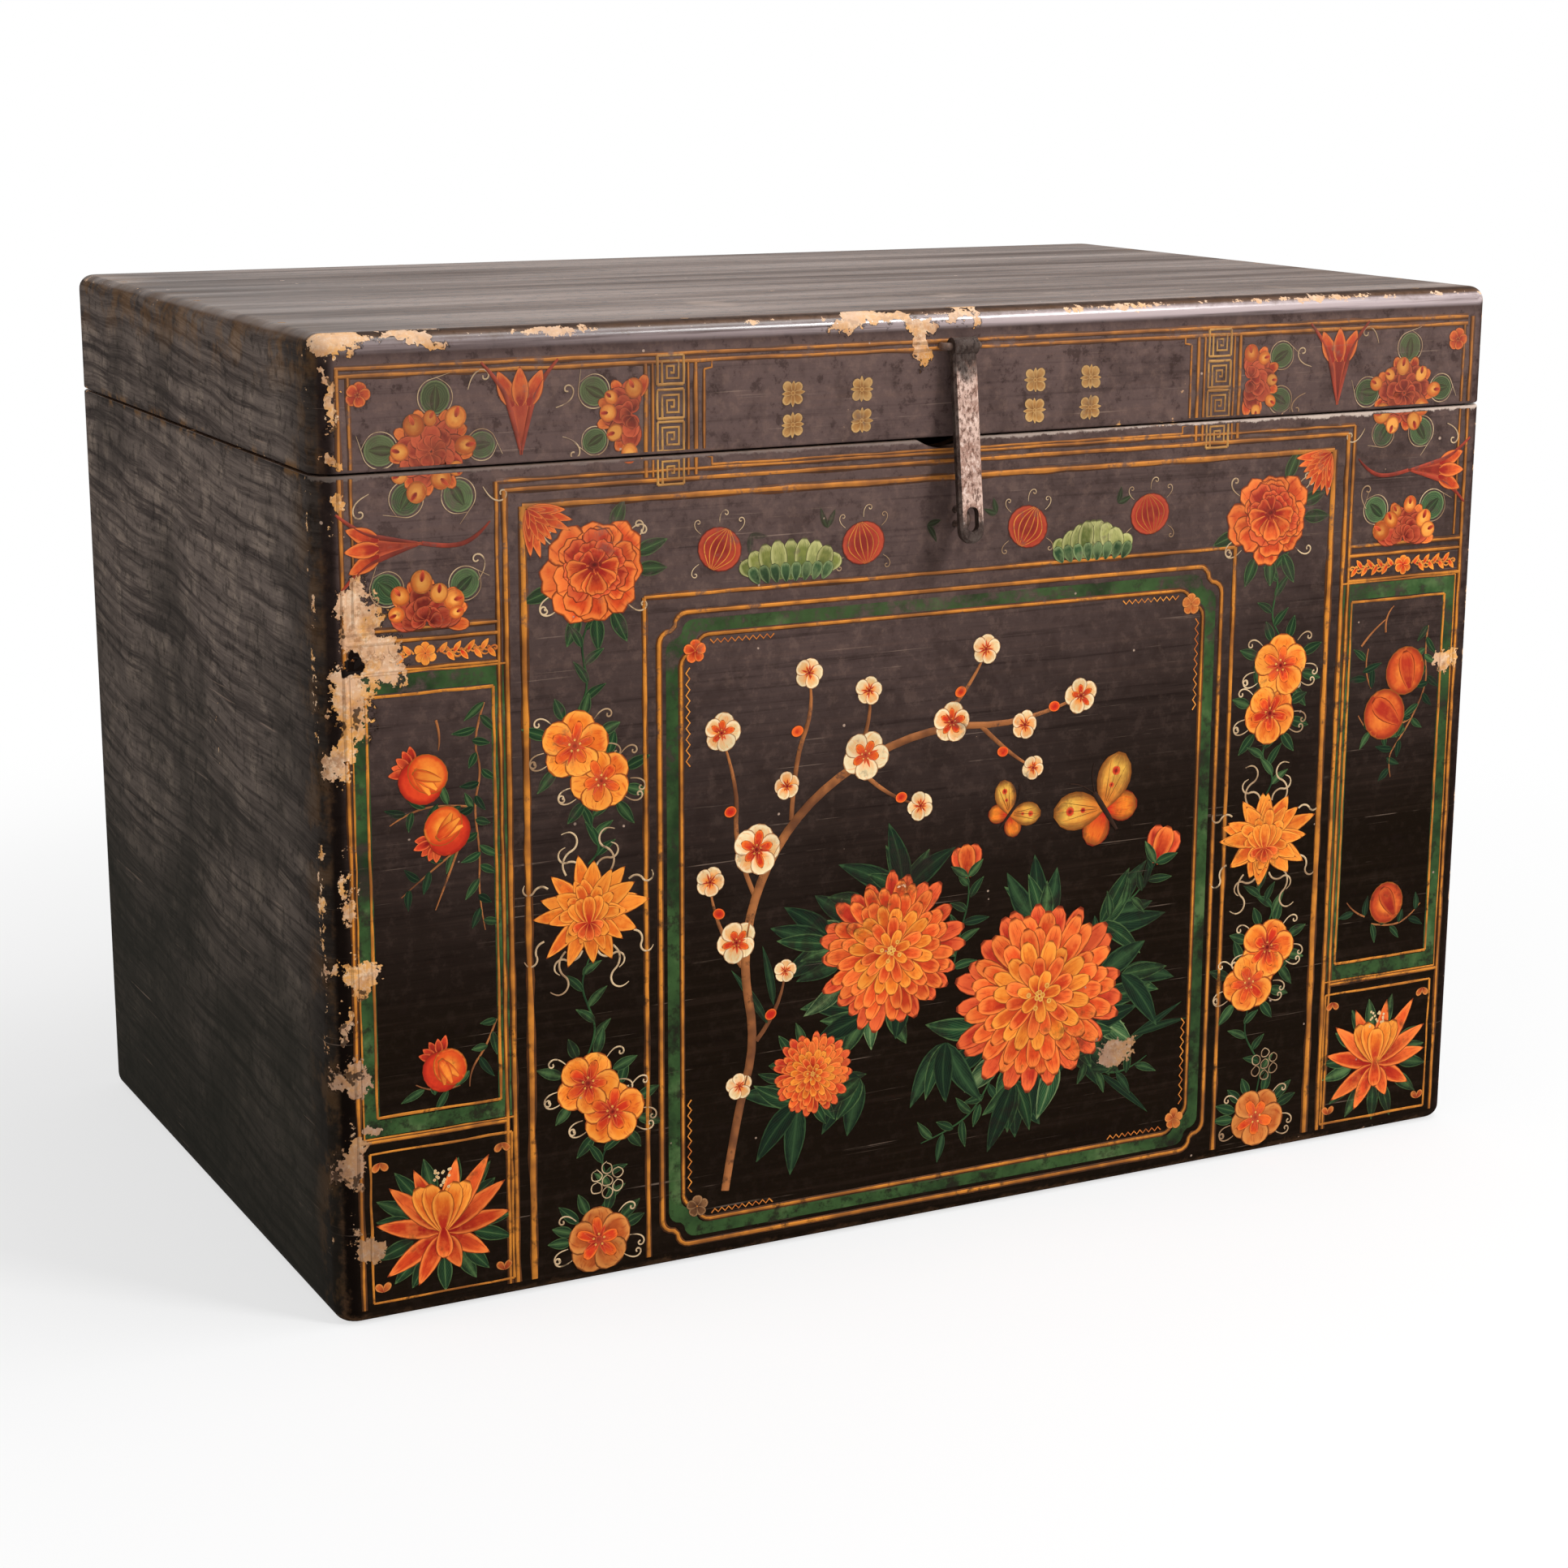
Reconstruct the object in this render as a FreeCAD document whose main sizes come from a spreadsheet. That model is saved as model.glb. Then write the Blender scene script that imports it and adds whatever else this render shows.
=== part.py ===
"""Painted wooden trunk: a dovetailed box with a hinged lid and an iron hasp.

Millimetres, +Z up, the front faces -Y, and the origin is the middle of the underside.
"""
import FreeCAD, Part
import os
import re
import Sketcher
from FreeCAD import Rotation, Vector

SIZES = {
    # The carcass
    "trunk_width": 830.0,
    "trunk_depth": 505.0,
    "base_height": 511.0,
    "seam_gap": 1.2,
    "lid_height": 77.8,
    "front_thickness": 20.0,
    "end_thickness": 24.0,
    "top_thickness": 17.0,
    "bottom_thickness": 16.0,
    "rabbet_depth": 9.0,
    "lower_plank_height": 238.0,
    # Rounding of the outer edges
    "corner_round": 14.0,
    "top_round": 9.5,
    "foot_round": 9.5,
    "rim_round": 1.6,
    # Through dovetails, with the tails on the end boards
    "first_tail": 42.0,
    "tail_pitch": 55.0,
    "tail_height": 27.0,
    "tail_flare": 3.0,
    "lid_tail_height": 30.0,
    # Worn dip in the front rim behind the hasp
    "dip_offset": -8.0,
    "dip_depth": 6.0,
    "dip_radius": 36.0,
    # Edge dowels and pegs
    "dowel_radius": 3.5,
    "dowel_length": 44.0,
    "dowel_inset": 153.0,
    "end_dowel_inset": 127.5,
    "dowel_clearance": 0.1,
    "peg_radius": 2.5,
    "peg_grip": 24.0,
    "peg_inset": 55.0,
    "peg_clearance": 0.05,
    "top_peg_inset": 12.0,
    # Battens under the lid boards
    "batten_inset": 210.0,
    "batten_width": 42.0,
    "batten_thickness": 18.0,
    "batten_clearance": 0.4,
    "batten_peg_grip": 9.0,
    # Hasp, its staple on the lid and the lock staple on the base
    "hasp_drop": 22.0,
    "hasp_length": 121.0,
    "hasp_width": 17.0,
    "hasp_thickness": 5.0,
    "hasp_bevel": 1.6,
    "hasp_standoff": 6.2,
    "hasp_eye_wall": 2.8,
    "hasp_eye_clearance": 0.3,
    "hasp_side_clearance": 1.2,
    "hasp_rest_gap": 0.8,
    "slot_width": 8.5,
    "slot_length": 15.6,
    "staple_radius": 2.3,
    "staple_bend": 3.0,
    "staple_clearance": 0.3,
    "clench_length": 12.0,
    "lock_drop": 106.0,
    "lock_radius": 1.9,
    "lock_half_gap": 4.5,
    "lock_reach": 16.8,
    # Back hinges
    "hinge_inset": 160.0,
    "hinge_width": 48.0,
    "hinge_base_leaf": 62.0,
    "hinge_lid_leaf": 50.0,
    "leaf_thickness": 2.2,
    "knuckle_radius": 5.0,
    "knuckle_length": 17.0,
    "knuckle_clearance": 0.4,
    "knuckle_relief": 1.2,
    "hinge_pin_radius": 2.4,
    "hinge_pin_clearance": 0.08,
    "pin_head_radius": 3.6,
    "pin_head_height": 1.6,
    # Hinge nails
    "nail_radius": 1.5,
    "nail_length": 16.0,
    "nail_clearance": 0.05,
    "nail_head_radius": 3.8,
    "nail_head_top": 2.2,
    "nail_head_height": 1.5,
    "nail_column": 14.0,
    "nail_near_row": 17.0,
    "nail_far_row": 40.0,
}

doc = FreeCAD.newDocument("painted_trunk")
sheet = doc.addObject("Spreadsheet::Sheet", "Sizes")
for row, (alias, value) in enumerate(SIZES.items(), start=1):
    sheet.set(f"A{row}", alias)
    sheet.set(f"B{row}", str(value))
    sheet.setAlias(f"B{row}", alias)
doc.recompute()

ALIAS = re.compile(r"\b(" + "|".join(SIZES) + r")\b")

# Places worked out from the driving sizes
LEFT, RIGHT = "-trunk_width/2", "trunk_width/2"
FRONT, BACK = "-trunk_depth/2", "trunk_depth/2"
LEFT_IN, RIGHT_IN = f"{LEFT} + end_thickness", f"{RIGHT} - end_thickness"
FRONT_IN, BACK_IN = f"{FRONT} + front_thickness", f"{BACK} - front_thickness"
RIM = "base_height"
LID_RIM = "base_height + seam_gap"
TOP = f"{LID_RIM} + lid_height"
TOP_UNDER = f"{TOP} - top_thickness"
HINGE_Y = f"{BACK} + knuckle_clearance + knuckle_radius"
HINGE_Z = "base_height + seam_gap/2"
HASP_Y = f"{FRONT} - hasp_standoff"
HASP_Z = f"{TOP} - hasp_drop"
LOCK_Z = f"{HASP_Z} - lock_drop"

ALONG_X = Rotation(Vector(0, 1, 0), 90)
ALONG_Y = Rotation(Vector(1, 0, 0), -90)
ALONG_Z = Rotation()
RING_YZ = Rotation(Vector(1, 1, 1), 120)
X_AXIS, Z_AXIS = Vector(1, 0, 0), Vector(0, 0, 1)
SAME_LEVEL = 1e-4


def cells(formula):
    """The formula with each size's name turned into its cell."""
    return ALIAS.sub(r"Sizes.\g<0>", formula)


def measure(formula):
    return float(sheet.evalExpression(cells(formula)))


def bind(item, prop, formula):
    item.setExpression(prop, cells(formula))


def place(item, point, turn=ALONG_Z):
    item.Placement.Rotation = turn
    for axis, formula in zip("xyz", point):
        bind(item, f"Placement.Base.{axis}", formula)
    return item


def box(name, low, high):
    item = doc.addObject("Part::Box", name)
    for prop, start, end in zip(("Length", "Width", "Height"), low, high):
        bind(item, prop, f"({end}) - ({start})")
    return place(item, low)


def rod(name, start, radius, length, turn):
    item = doc.addObject("Part::Cylinder", name)
    bind(item, "Radius", radius)
    bind(item, "Height", length)
    return place(item, start, turn)


def bend(name, centre, major, wire_radius, sweep, turn):
    """A bent stretch of staple wire, swept about centre by the given angle."""
    item = doc.addObject("Part::Torus", name)
    bind(item, "Radius1", major)
    bind(item, "Radius2", wire_radius)
    item.Angle3 = sweep
    return place(item, centre, turn)


def group(kind, name, members):
    item = doc.addObject(kind, name)
    setattr(item, "Links" if kind == "Part::Compound" else "Shapes", members)
    return item


def cut(name, base, tool):
    item = doc.addObject("Part::Cut", name)
    item.Base, item.Tool = base, tool
    return item


# Rounded outer blocks of the base and the lid, which trim every board


def rounded_block(name, low_z, height, low_radius, high_radius):
    body = doc.addObject("PartDesign::Body", name)
    block = body.newObject("PartDesign::AdditiveBox", name + "_block")
    bind(block, "Length", "trunk_width")
    bind(block, "Width", "trunk_depth")
    bind(block, "Height", height)
    place(body, (LEFT, FRONT, low_z))
    doc.recompute()
    tip = block
    for label, radius in (("corner", "corner_round"), ("low", low_radius), ("high", high_radius)):
        ends = (tip.Shape.BoundBox.ZMin, tip.Shape.BoundBox.ZMax)
        picked = []
        for number, edge in enumerate(tip.Shape.Edges, start=1):
            span = (edge.BoundBox.ZMin, edge.BoundBox.ZMax)
            level = {"corner": ends, "low": (ends[0],) * 2, "high": (ends[1],) * 2}[label]
            if all(abs(a - b) < SAME_LEVEL for a, b in zip(span, level)):
                picked.append(f"Edge{number}")
        fillet = body.newObject("PartDesign::Fillet", f"{name}_{label}_round")
        fillet.Base = (tip, picked)
        bind(fillet, "Radius", radius)
        doc.recompute()
        tip = fillet
    return body


base_block = rounded_block("base_block", "0", RIM, "foot_round", "rim_round")
lid_block = rounded_block("lid_block", LID_RIM, "lid_height", "rim_round", "top_round")


# Dovetails: trapezoid tails on the end boards, which the front and back boards are cut to


def tails(name, heights, tail_size):
    """Tails of the four corners, keyed by (end, face)."""
    found = {}
    for end, x in (("left", LEFT), ("right", RIGHT_IN)):
        for face, y in (("front", FRONT), ("back", BACK_IN)):
            row = []
            for number, height in enumerate(heights, start=1):
                tail = doc.addObject("Part::Wedge", f"{name}_{end}_{face}_tail_{number}")
                wide, narrow = f"({tail_size})/2", f"({tail_size})/2 - tail_flare"
                outer, inner = (wide, narrow) if face == "front" else (narrow, wide)
                for prop in ("Xmin", "X2min", "Ymin"):
                    setattr(tail, prop, 0)
                bind(tail, "Xmax", "end_thickness")
                bind(tail, "X2max", "end_thickness")
                bind(tail, "Ymax", "front_thickness")
                bind(tail, "Zmin", f"-({outer})")
                bind(tail, "Zmax", outer)
                bind(tail, "Z2min", f"-({inner})")
                bind(tail, "Z2max", inner)
                row.append(place(tail, (x, y, height)))
            found[end, face] = row
    return found


tail_count = int(measure("(base_height - first_tail - tail_height)/tail_pitch")) + 1
base_heights = [f"first_tail + {k}*tail_pitch" for k in range(tail_count)]
base_tails = tails("base", base_heights, "tail_height")
lid_tails = tails("lid", [f"({LID_RIM} + {TOP_UNDER})/2"], "lid_tail_height")


def walls(name, low, high, corner_tails):
    """The four boards of one dovetailed frame, square-edged and undivided."""
    frame = {}
    for end, x0, x1 in (("left", LEFT, LEFT_IN), ("right", RIGHT_IN, RIGHT)):
        core = box(f"{name}_{end}_core", (x0, FRONT_IN, low), (x1, BACK_IN, high))
        members = [core] + corner_tails[end, "front"] + corner_tails[end, "back"]
        frame[end] = group("Part::MultiFuse", f"{name}_{end}_board", members)
    for face, y0, y1 in (("front", FRONT, FRONT_IN), ("back", BACK_IN, BACK)):
        blank = box(f"{name}_{face}_blank", (LEFT, y0, low), (RIGHT, y1, high))
        sockets = corner_tails["left", face] + corner_tails["right", face]
        tool = group("Part::Compound", f"{name}_{face}_sockets", sockets)
        frame[face] = cut(f"{name}_{face}_board", blank, tool)
    return frame


base_walls = walls("base", "0", RIM, base_tails)
lid_walls = walls("lid", LID_RIM, TOP_UNDER, lid_tails)


# Round fastenings. Each maker returns the pins and the holes that take them, piece by piece.


def pins_and_holes(name, starts, radius, length, turn, clearance):
    pins, holes = [], []
    step = turn.multVec(Z_AXIS)
    for number, start in enumerate(starts, start=1):
        pins.append(rod(f"{name}_{number}", start, radius, length, turn))
        shift = [f"{p} - {c}*{clearance}" for p, c in zip(start, (step.x, step.y, step.z))]
        grown = f"{length} + 2*{clearance}"
        holes.append(rod(f"{name}_hole_{number}", shift, f"{radius} + {clearance}", grown, turn))
    return pins, holes


WALL_X = [f"{k}*({RIGHT} - dowel_inset)" for k in (-1, 0, 1)]
WALL_Y = [f"{k}*({BACK} - end_dowel_inset)" for k in (-1, 1)]
DOWEL_Z = "lower_plank_height - dowel_length/2"
wall_starts = {
    "front": [(x, f"{FRONT} + front_thickness/2", DOWEL_Z) for x in WALL_X],
    "back": [(x, f"{BACK} - front_thickness/2", DOWEL_Z) for x in WALL_X],
    "left": [(f"{LEFT} + end_thickness/2", y, DOWEL_Z) for y in WALL_Y],
    "right": [(f"{RIGHT} - end_thickness/2", y, DOWEL_Z) for y in WALL_Y],
}
wall_dowels, wall_holes = [], {}
for wall, starts in wall_starts.items():
    made, wall_holes[wall] = pins_and_holes(
        f"{wall}_dowel", starts, "dowel_radius", "dowel_length", ALONG_Z, "dowel_clearance")
    wall_dowels += made

# The bottom boards lie in a rabbet round the foot of the walls, and the top boards on the rails
FLOOR_X = (f"{LEFT_IN} - rabbet_depth", f"{RIGHT_IN} + rabbet_depth")
FLOOR_Y = (f"{FRONT_IN} - rabbet_depth", f"{BACK_IN} + rabbet_depth")
BOARD_NAMES = ("front", "middle", "rear")


def split(span, number):
    return f"({span[0]}) + (({span[1]}) - ({span[0]}))*{number}/{len(BOARD_NAMES)}"


def three_boards(name, x_span, y_span, low, high):
    boards = []
    for number, where in enumerate(BOARD_NAMES):
        near, far = split(y_span, number), split(y_span, number + 1)
        boards.append(box(f"{name}_{where}_blank", (x_span[0], near, low), (x_span[1], far, high)))
    return boards


floor_blanks = three_boards("bottom", FLOOR_X, FLOOR_Y, "0", "bottom_thickness")
top_blanks = three_boards("top", (LEFT, RIGHT), (FRONT, BACK), TOP_UNDER, TOP)


def edge_dowels(name, y_span, height):
    starts = []
    for joint in (1, 2):
        starts += [(x, f"{split(y_span, joint)} - dowel_length/2", height) for x in WALL_X]
    return pins_and_holes(name, starts, "dowel_radius", "dowel_length", ALONG_Y, "dowel_clearance")


floor_dowels, floor_dowel_holes = edge_dowels("bottom_dowel", FLOOR_Y, "bottom_thickness/2")
top_dowels, top_dowel_holes = edge_dowels("top_dowel", (FRONT, BACK), f"{TOP} - top_thickness/2")


def rim_pegs(name, x_in, y_in, y_span, start, length):
    """Pegs along the front and back, then one per board at each end."""
    starts = []
    for y in (f"{FRONT} + {y_in}", f"{BACK} - ({y_in})"):
        starts += [(f"{k}*({RIGHT} - peg_inset)", y, start) for k in (-1, -0.5, 0, 0.5, 1)]
    for x in (f"{LEFT} + {x_in}", f"{RIGHT} - ({x_in})"):
        starts += [(x, split(y_span, number + 0.5), start) for number in range(len(BOARD_NAMES))]
    return pins_and_holes(name, starts, "peg_radius", length, ALONG_Z, "peg_clearance")


floor_pegs, floor_peg_holes = rim_pegs(
    "bottom_peg", "end_thickness - rabbet_depth/2", "front_thickness - rabbet_depth/2", FLOOR_Y,
    "0", "bottom_thickness + peg_grip")
top_pegs, top_peg_holes = rim_pegs(
    "top_peg", "top_peg_inset", "top_peg_inset", (FRONT, BACK),
    f"{TOP_UNDER} - peg_grip", "top_thickness + peg_grip")

BATTEN_X = {"left": f"{LEFT} + batten_inset", "right": f"{RIGHT} - batten_inset"}
batten_starts = []
for x in BATTEN_X.values():
    for number in range(len(BOARD_NAMES)):
        y = split((FRONT, BACK), number + 0.5)
        batten_starts.append((x, y, f"{TOP_UNDER} - batten_thickness"))
batten_pegs, batten_peg_holes = pins_and_holes(
    "batten_peg", batten_starts, "peg_radius", "batten_thickness + batten_peg_grip", ALONG_Z,
    "peg_clearance")


# Iron staples: bent wire, driven through the front and clenched over inside

STAPLE_X = "hasp_width/2 + hasp_side_clearance + staple_radius"


def clench(wire_radius):
    """Y of a leg's end and of the tail that is bent over against the inner face."""
    tail = f"{FRONT_IN} + {wire_radius} + staple_clearance"
    return f"{tail} - staple_bend", tail


def leg_hole(name, x, z, wire_radius):
    return rod(name, (x, f"{FRONT} - staple_clearance", z), f"{wire_radius} + staple_clearance",
               "front_thickness + 2*staple_clearance", ALONG_Y)


def hasp_staple():
    radius = "staple_radius"
    leg_end, tail_y = clench(radius)
    leg_start = f"{HASP_Y} + staple_bend"
    half_bar = f"{STAPLE_X} - staple_bend"
    wire = [rod("staple_bar", (f"-({half_bar})", HASP_Y, HASP_Z), radius, f"2*({half_bar})", ALONG_X)]
    holes = []
    for side, sign, outer_turn, inner_turn in (("left", -1, 180, 0), ("right", 1, -90, 90)):
        leg_x = f"{sign}*({STAPLE_X})"
        inset_x, outset_x = f"{leg_x} - {sign}*staple_bend", f"{leg_x} + {sign}*staple_bend"
        tail_x = outset_x if sign > 0 else f"{outset_x} - clench_length"
        wire += [
            bend(f"staple_{side}_elbow", (inset_x, leg_start, HASP_Z), "staple_bend", radius, 90,
                 Rotation(Z_AXIS, outer_turn)),
            rod(f"staple_{side}_leg", (leg_x, leg_start, HASP_Z), radius,
                f"({leg_end}) - ({leg_start})", ALONG_Y),
            bend(f"staple_{side}_clench", (outset_x, leg_end, HASP_Z), "staple_bend", radius, 90,
                 Rotation(Z_AXIS, inner_turn)),
            rod(f"staple_{side}_tail", (tail_x, tail_y, HASP_Z), radius, "clench_length", ALONG_X)]
        holes.append(leg_hole(f"staple_{side}_hole", leg_x, HASP_Z, radius))
    return group("Part::MultiFuse", "hasp_staple", wire), holes


def lock_staple():
    radius = "lock_radius"
    leg_end, tail_y = clench(radius)
    bow_y = f"{FRONT} - lock_reach + lock_radius + lock_half_gap"
    wire = [bend("lock_bow", ("0", bow_y, LOCK_Z), "lock_half_gap", radius, 180,
                 Rotation(X_AXIS, 90) * RING_YZ)]
    holes = []
    for side, sign, turn in (("upper", 1, -90), ("lower", -1, 0)):
        leg_z = f"{LOCK_Z} + {sign}*lock_half_gap"
        clench_z = f"{leg_z} + {sign}*staple_bend"
        tail_z = clench_z if sign > 0 else f"{clench_z} - clench_length"
        wire += [
            rod(f"lock_{side}_leg", ("0", bow_y, leg_z), radius, f"({leg_end}) - ({bow_y})", ALONG_Y),
            bend(f"lock_{side}_clench", ("0", leg_end, clench_z), "staple_bend", radius, 90,
                 Rotation(X_AXIS, turn) * RING_YZ),
            rod(f"lock_{side}_tail", ("0", tail_y, tail_z), radius, "clench_length", ALONG_Z)]
        holes.append(leg_hole(f"lock_{side}_hole", "0", leg_z, radius))
    return group("Part::MultiFuse", "lock_staple", wire), holes


hasp_staple_wire, hasp_staple_holes = hasp_staple()
lock_staple_wire, lock_staple_holes = lock_staple()


# The hasp: a bevelled bar that hangs from its staple, stored leaning on the nose of the lock staple


def fixed_point(sketch, name, element, vertex, point):
    """Hold one sketch point at a formula's distance from the sketch origin."""
    for kind, formula in zip(("DistanceX", "DistanceY"), point):
        if formula is None:
            continue
        held = Sketcher.Constraint(kind, -1, 1, element, vertex, measure(formula))
        label = f"{name}_{kind[-1].lower()}"
        sketch.renameConstraint(sketch.addConstraint(held), label)
        bind(sketch, f"Constraints.{label}", formula)


def new_sketch(body, name, role):
    sketch = body.newObject("Sketcher::SketchObject", name)
    plane = [item for item in body.Origin.OriginFeatures if item.Role == role][0]
    sketch.AttachmentSupport = [(plane, "")]
    sketch.MapMode = "FlatFace"
    return sketch


def stadium(sketch, width, near, far, near_flat):
    """A strip along the sketch's Y with a round far end, and a square or round near end."""
    half, high_y, low_y = measure(f"({width})/2"), measure(near), measure(far)
    near_left, near_right = Vector(-half, high_y), Vector(half, high_y)
    far_left, far_right = Vector(-half, low_y), Vector(half, low_y)
    left = sketch.addGeometry(Part.LineSegment(near_left, far_left))
    low = sketch.addGeometry(Part.Arc(far_left, Vector(0, low_y - half), far_right))
    right = sketch.addGeometry(Part.LineSegment(far_right, near_right))
    if near_flat:
        high = sketch.addGeometry(Part.LineSegment(near_right, near_left))
    else:
        high = sketch.addGeometry(Part.Arc(near_right, Vector(0, high_y + half), near_left))
    loop = (left, low, right, high)
    for element, follower in zip(loop, loop[1:] + loop[:1]):
        sketch.addConstraint(Sketcher.Constraint("Coincident", element, 2, follower, 1))
    fixed_point(sketch, "near_left", left, 1, (f"-({width})/2", near))
    fixed_point(sketch, "far_left", left, 2, (f"-({width})/2", far))
    fixed_point(sketch, "far_right", right, 1, (f"({width})/2", far))
    fixed_point(sketch, "near_right", right, 2, (f"({width})/2", near))
    fixed_point(sketch, "far_centre", low, 3, (None, far))
    if not near_flat:
        fixed_point(sketch, "near_centre", high, 3, (None, near))


def hasp():
    body = doc.addObject("PartDesign::Body", "hasp")
    outline = new_sketch(body, "hasp_outline", "XZ_Plane")
    stadium(outline, "hasp_width", "0", "-(hasp_length - hasp_width/2)", True)
    bar = body.newObject("PartDesign::Pad", "hasp_bar")
    bar.Profile = outline
    bar.SideType = "Symmetric"
    bind(bar, "Length", "hasp_thickness")
    doc.recompute()
    faces = sorted(bar.Shape.Faces, key=lambda face: face.CenterOfMass.y)
    outer_edges = [f"Edge{n}" for n, edge in enumerate(bar.Shape.Edges, start=1)
                   if any(edge.isSame(rim) for rim in faces[0].Edges) and edge.BoundBox.ZMin < -1]
    bevel = body.newObject("PartDesign::Chamfer", "hasp_bevel_edges")
    bevel.Base = (bar, outer_edges)
    bind(bevel, "Size", "hasp_bevel")
    doc.recompute()
    eye = body.newObject("PartDesign::AdditiveCylinder", "hasp_eye")
    bind(eye, "Radius", "staple_radius + hasp_eye_clearance + hasp_eye_wall")
    bore = body.newObject("PartDesign::SubtractiveCylinder", "hasp_bore")
    bind(bore, "Radius", "staple_radius + hasp_eye_clearance")
    for item in (eye, bore):
        bind(item, "Height", "hasp_width")
        place(item, ("-hasp_width/2", "0", "0"), ALONG_X)
    doc.recompute()
    slot_outline = new_sketch(body, "hasp_slot_outline", "XZ_Plane")
    middle, reach = "-lock_drop", "(slot_length - slot_width)/2"
    stadium(slot_outline, "slot_width", f"{middle} + {reach}", f"{middle} - {reach}", False)
    slot = body.newObject("PartDesign::Pocket", "hasp_slot")
    slot.Profile = slot_outline
    slot.Type = "ThroughAll"
    slot.SideType = "Symmetric"
    place(body, ("0", HASP_Y, HASP_Z), Rotation(-X_AXIS, 1))
    stand = "lock_reach + hasp_rest_gap - hasp_standoff + hasp_thickness/2"
    bind(body, "Placement.Rotation.Angle", f"atan(({stand})/(lock_drop + slot_length/2))")
    return body


hasp_bar = hasp()


# Back hinges: two leaves, a pin with peened heads, and nails


def nails(name, places):
    """Nails driven through a leaf into the back, and the holes that take them."""
    made, holes = [], []
    face = f"{BACK} + leaf_thickness"
    for number, (x, z) in enumerate(places, start=1):
        shank = rod(f"{name}_shank_{number}", (x, f"{face} - nail_length", z), "nail_radius",
                    "nail_length", ALONG_Y)
        head = doc.addObject("Part::Cone", f"{name}_head_{number}")
        bind(head, "Radius1", "nail_head_radius")
        bind(head, "Radius2", "nail_head_top")
        bind(head, "Height", "nail_head_height")
        place(head, (x, face, z), ALONG_Y)
        made.append(group("Part::MultiFuse", f"{name}_nail_{number}", [shank, head]))
        holes.append(rod(f"{name}_hole_{number}", (x, f"{face} - nail_length - nail_clearance", z),
                         "nail_radius + nail_clearance", "nail_length + nail_clearance", ALONG_Y))
    return made, holes


def hinge_leaf(name, middle, direction, leaf_length, spans, holes):
    """One leaf: direction is 1 above the axis and -1 below, spans are its knuckles' X ranges."""
    clear = f"{direction}*(knuckle_radius + knuckle_relief)"
    edges = sorted(((f"{HINGE_Z} + {clear}", 0), (f"{HINGE_Z} + {direction}*{leaf_length}", 1)),
                   key=lambda edge: edge[1] * direction)
    x_low, x_high = f"{middle} - hinge_width/2", f"{middle} + hinge_width/2"
    face = f"{BACK} + leaf_thickness"
    members = [box(f"{name}_plate", (x_low, BACK, edges[0][0]), (x_high, face, edges[1][0]))]
    for number, (start, end) in enumerate(spans, start=1):
        levels = (HINGE_Z, f"{HINGE_Z} + {clear}")
        low, high = levels if direction > 0 else levels[::-1]
        members.append(box(f"{name}_tab_{number}", (start, BACK, low), (end, face, high)))
        members.append(rod(f"{name}_knuckle_{number}", (start, HINGE_Y, HINGE_Z), "knuckle_radius",
                           f"({end}) - ({start})", ALONG_X))
    bore = rod(f"{name}_bore", (x_low, HINGE_Y, HINGE_Z), "hinge_pin_radius + hinge_pin_clearance",
               "hinge_width", ALONG_X)
    solid = group("Part::MultiFuse", f"{name}_solid", members)
    return cut(name, solid, group("Part::Compound", f"{name}_holes", [bore] + holes))


def hinge_pin(name, middle):
    reach = "hinge_width/2 + knuckle_clearance"
    members = [rod(f"{name}_shank", (f"{middle} - ({reach})", HINGE_Y, HINGE_Z), "hinge_pin_radius",
                   f"2*({reach})", ALONG_X)]
    heads = {"left": f"{middle} - ({reach}) - pin_head_height", "right": f"{middle} + {reach}"}
    for end, start in heads.items():
        members.append(rod(f"{name}_{end}_head", (start, HINGE_Y, HINGE_Z), "pin_head_radius",
                           "pin_head_height", ALONG_X))
    return group("Part::MultiFuse", name, members)


hinge_parts, base_nails, lid_nails, base_nail_holes, lid_nail_holes = {}, [], [], [], []
for side, sign in (("left", -1), ("right", 1)):
    middle = f"{sign}*({RIGHT} - hinge_inset)"
    columns = [f"{middle} + {k}*nail_column" for k in (-1, 1)]
    base_rows = [f"{HINGE_Z} - {row}" for row in ("nail_near_row", "nail_far_row")]
    lid_rows = [f"{HINGE_Z} + {row}" for row in ("nail_near_row", "nail_far_row")]
    made, base_holes = nails(f"{side}_base_leaf", [(x, z) for x in columns for z in base_rows])
    base_nails += made
    base_nail_holes += base_holes
    made, lid_holes = nails(f"{side}_lid_leaf", [(x, z) for x in columns for z in lid_rows])
    lid_nails += made
    lid_nail_holes += lid_holes
    inner = "knuckle_length/2"
    outer = "knuckle_length/2 + knuckle_clearance"
    outer_spans = [(f"{middle} - hinge_width/2", f"{middle} - ({outer})"),
                   (f"{middle} + {outer}", f"{middle} + hinge_width/2")]
    inner_span = [(f"{middle} - {inner}", f"{middle} + {inner}")]
    for label, direction, length, spans, holes in (
            ("base", -1, "hinge_base_leaf", outer_spans, base_holes),
            ("lid", 1, "hinge_lid_leaf", inner_span, lid_holes)):
        name = f"{side}_hinge_{label}_leaf"
        hinge_parts[name] = hinge_leaf(name, middle, direction, length, spans, holes)
    hinge_parts[f"{side}_hinge_pin"] = hinge_pin(f"{side}_hinge_pin", middle)


# The boards: each wall is trimmed to the rounded block, split into planks and bored


def bored(name, blank, block, holes):
    trimmed = group("Part::MultiCommon", f"{name}_trimmed", [blank, block])
    return cut(name, trimmed, group("Part::Compound", f"{name}_holes", holes))


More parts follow.
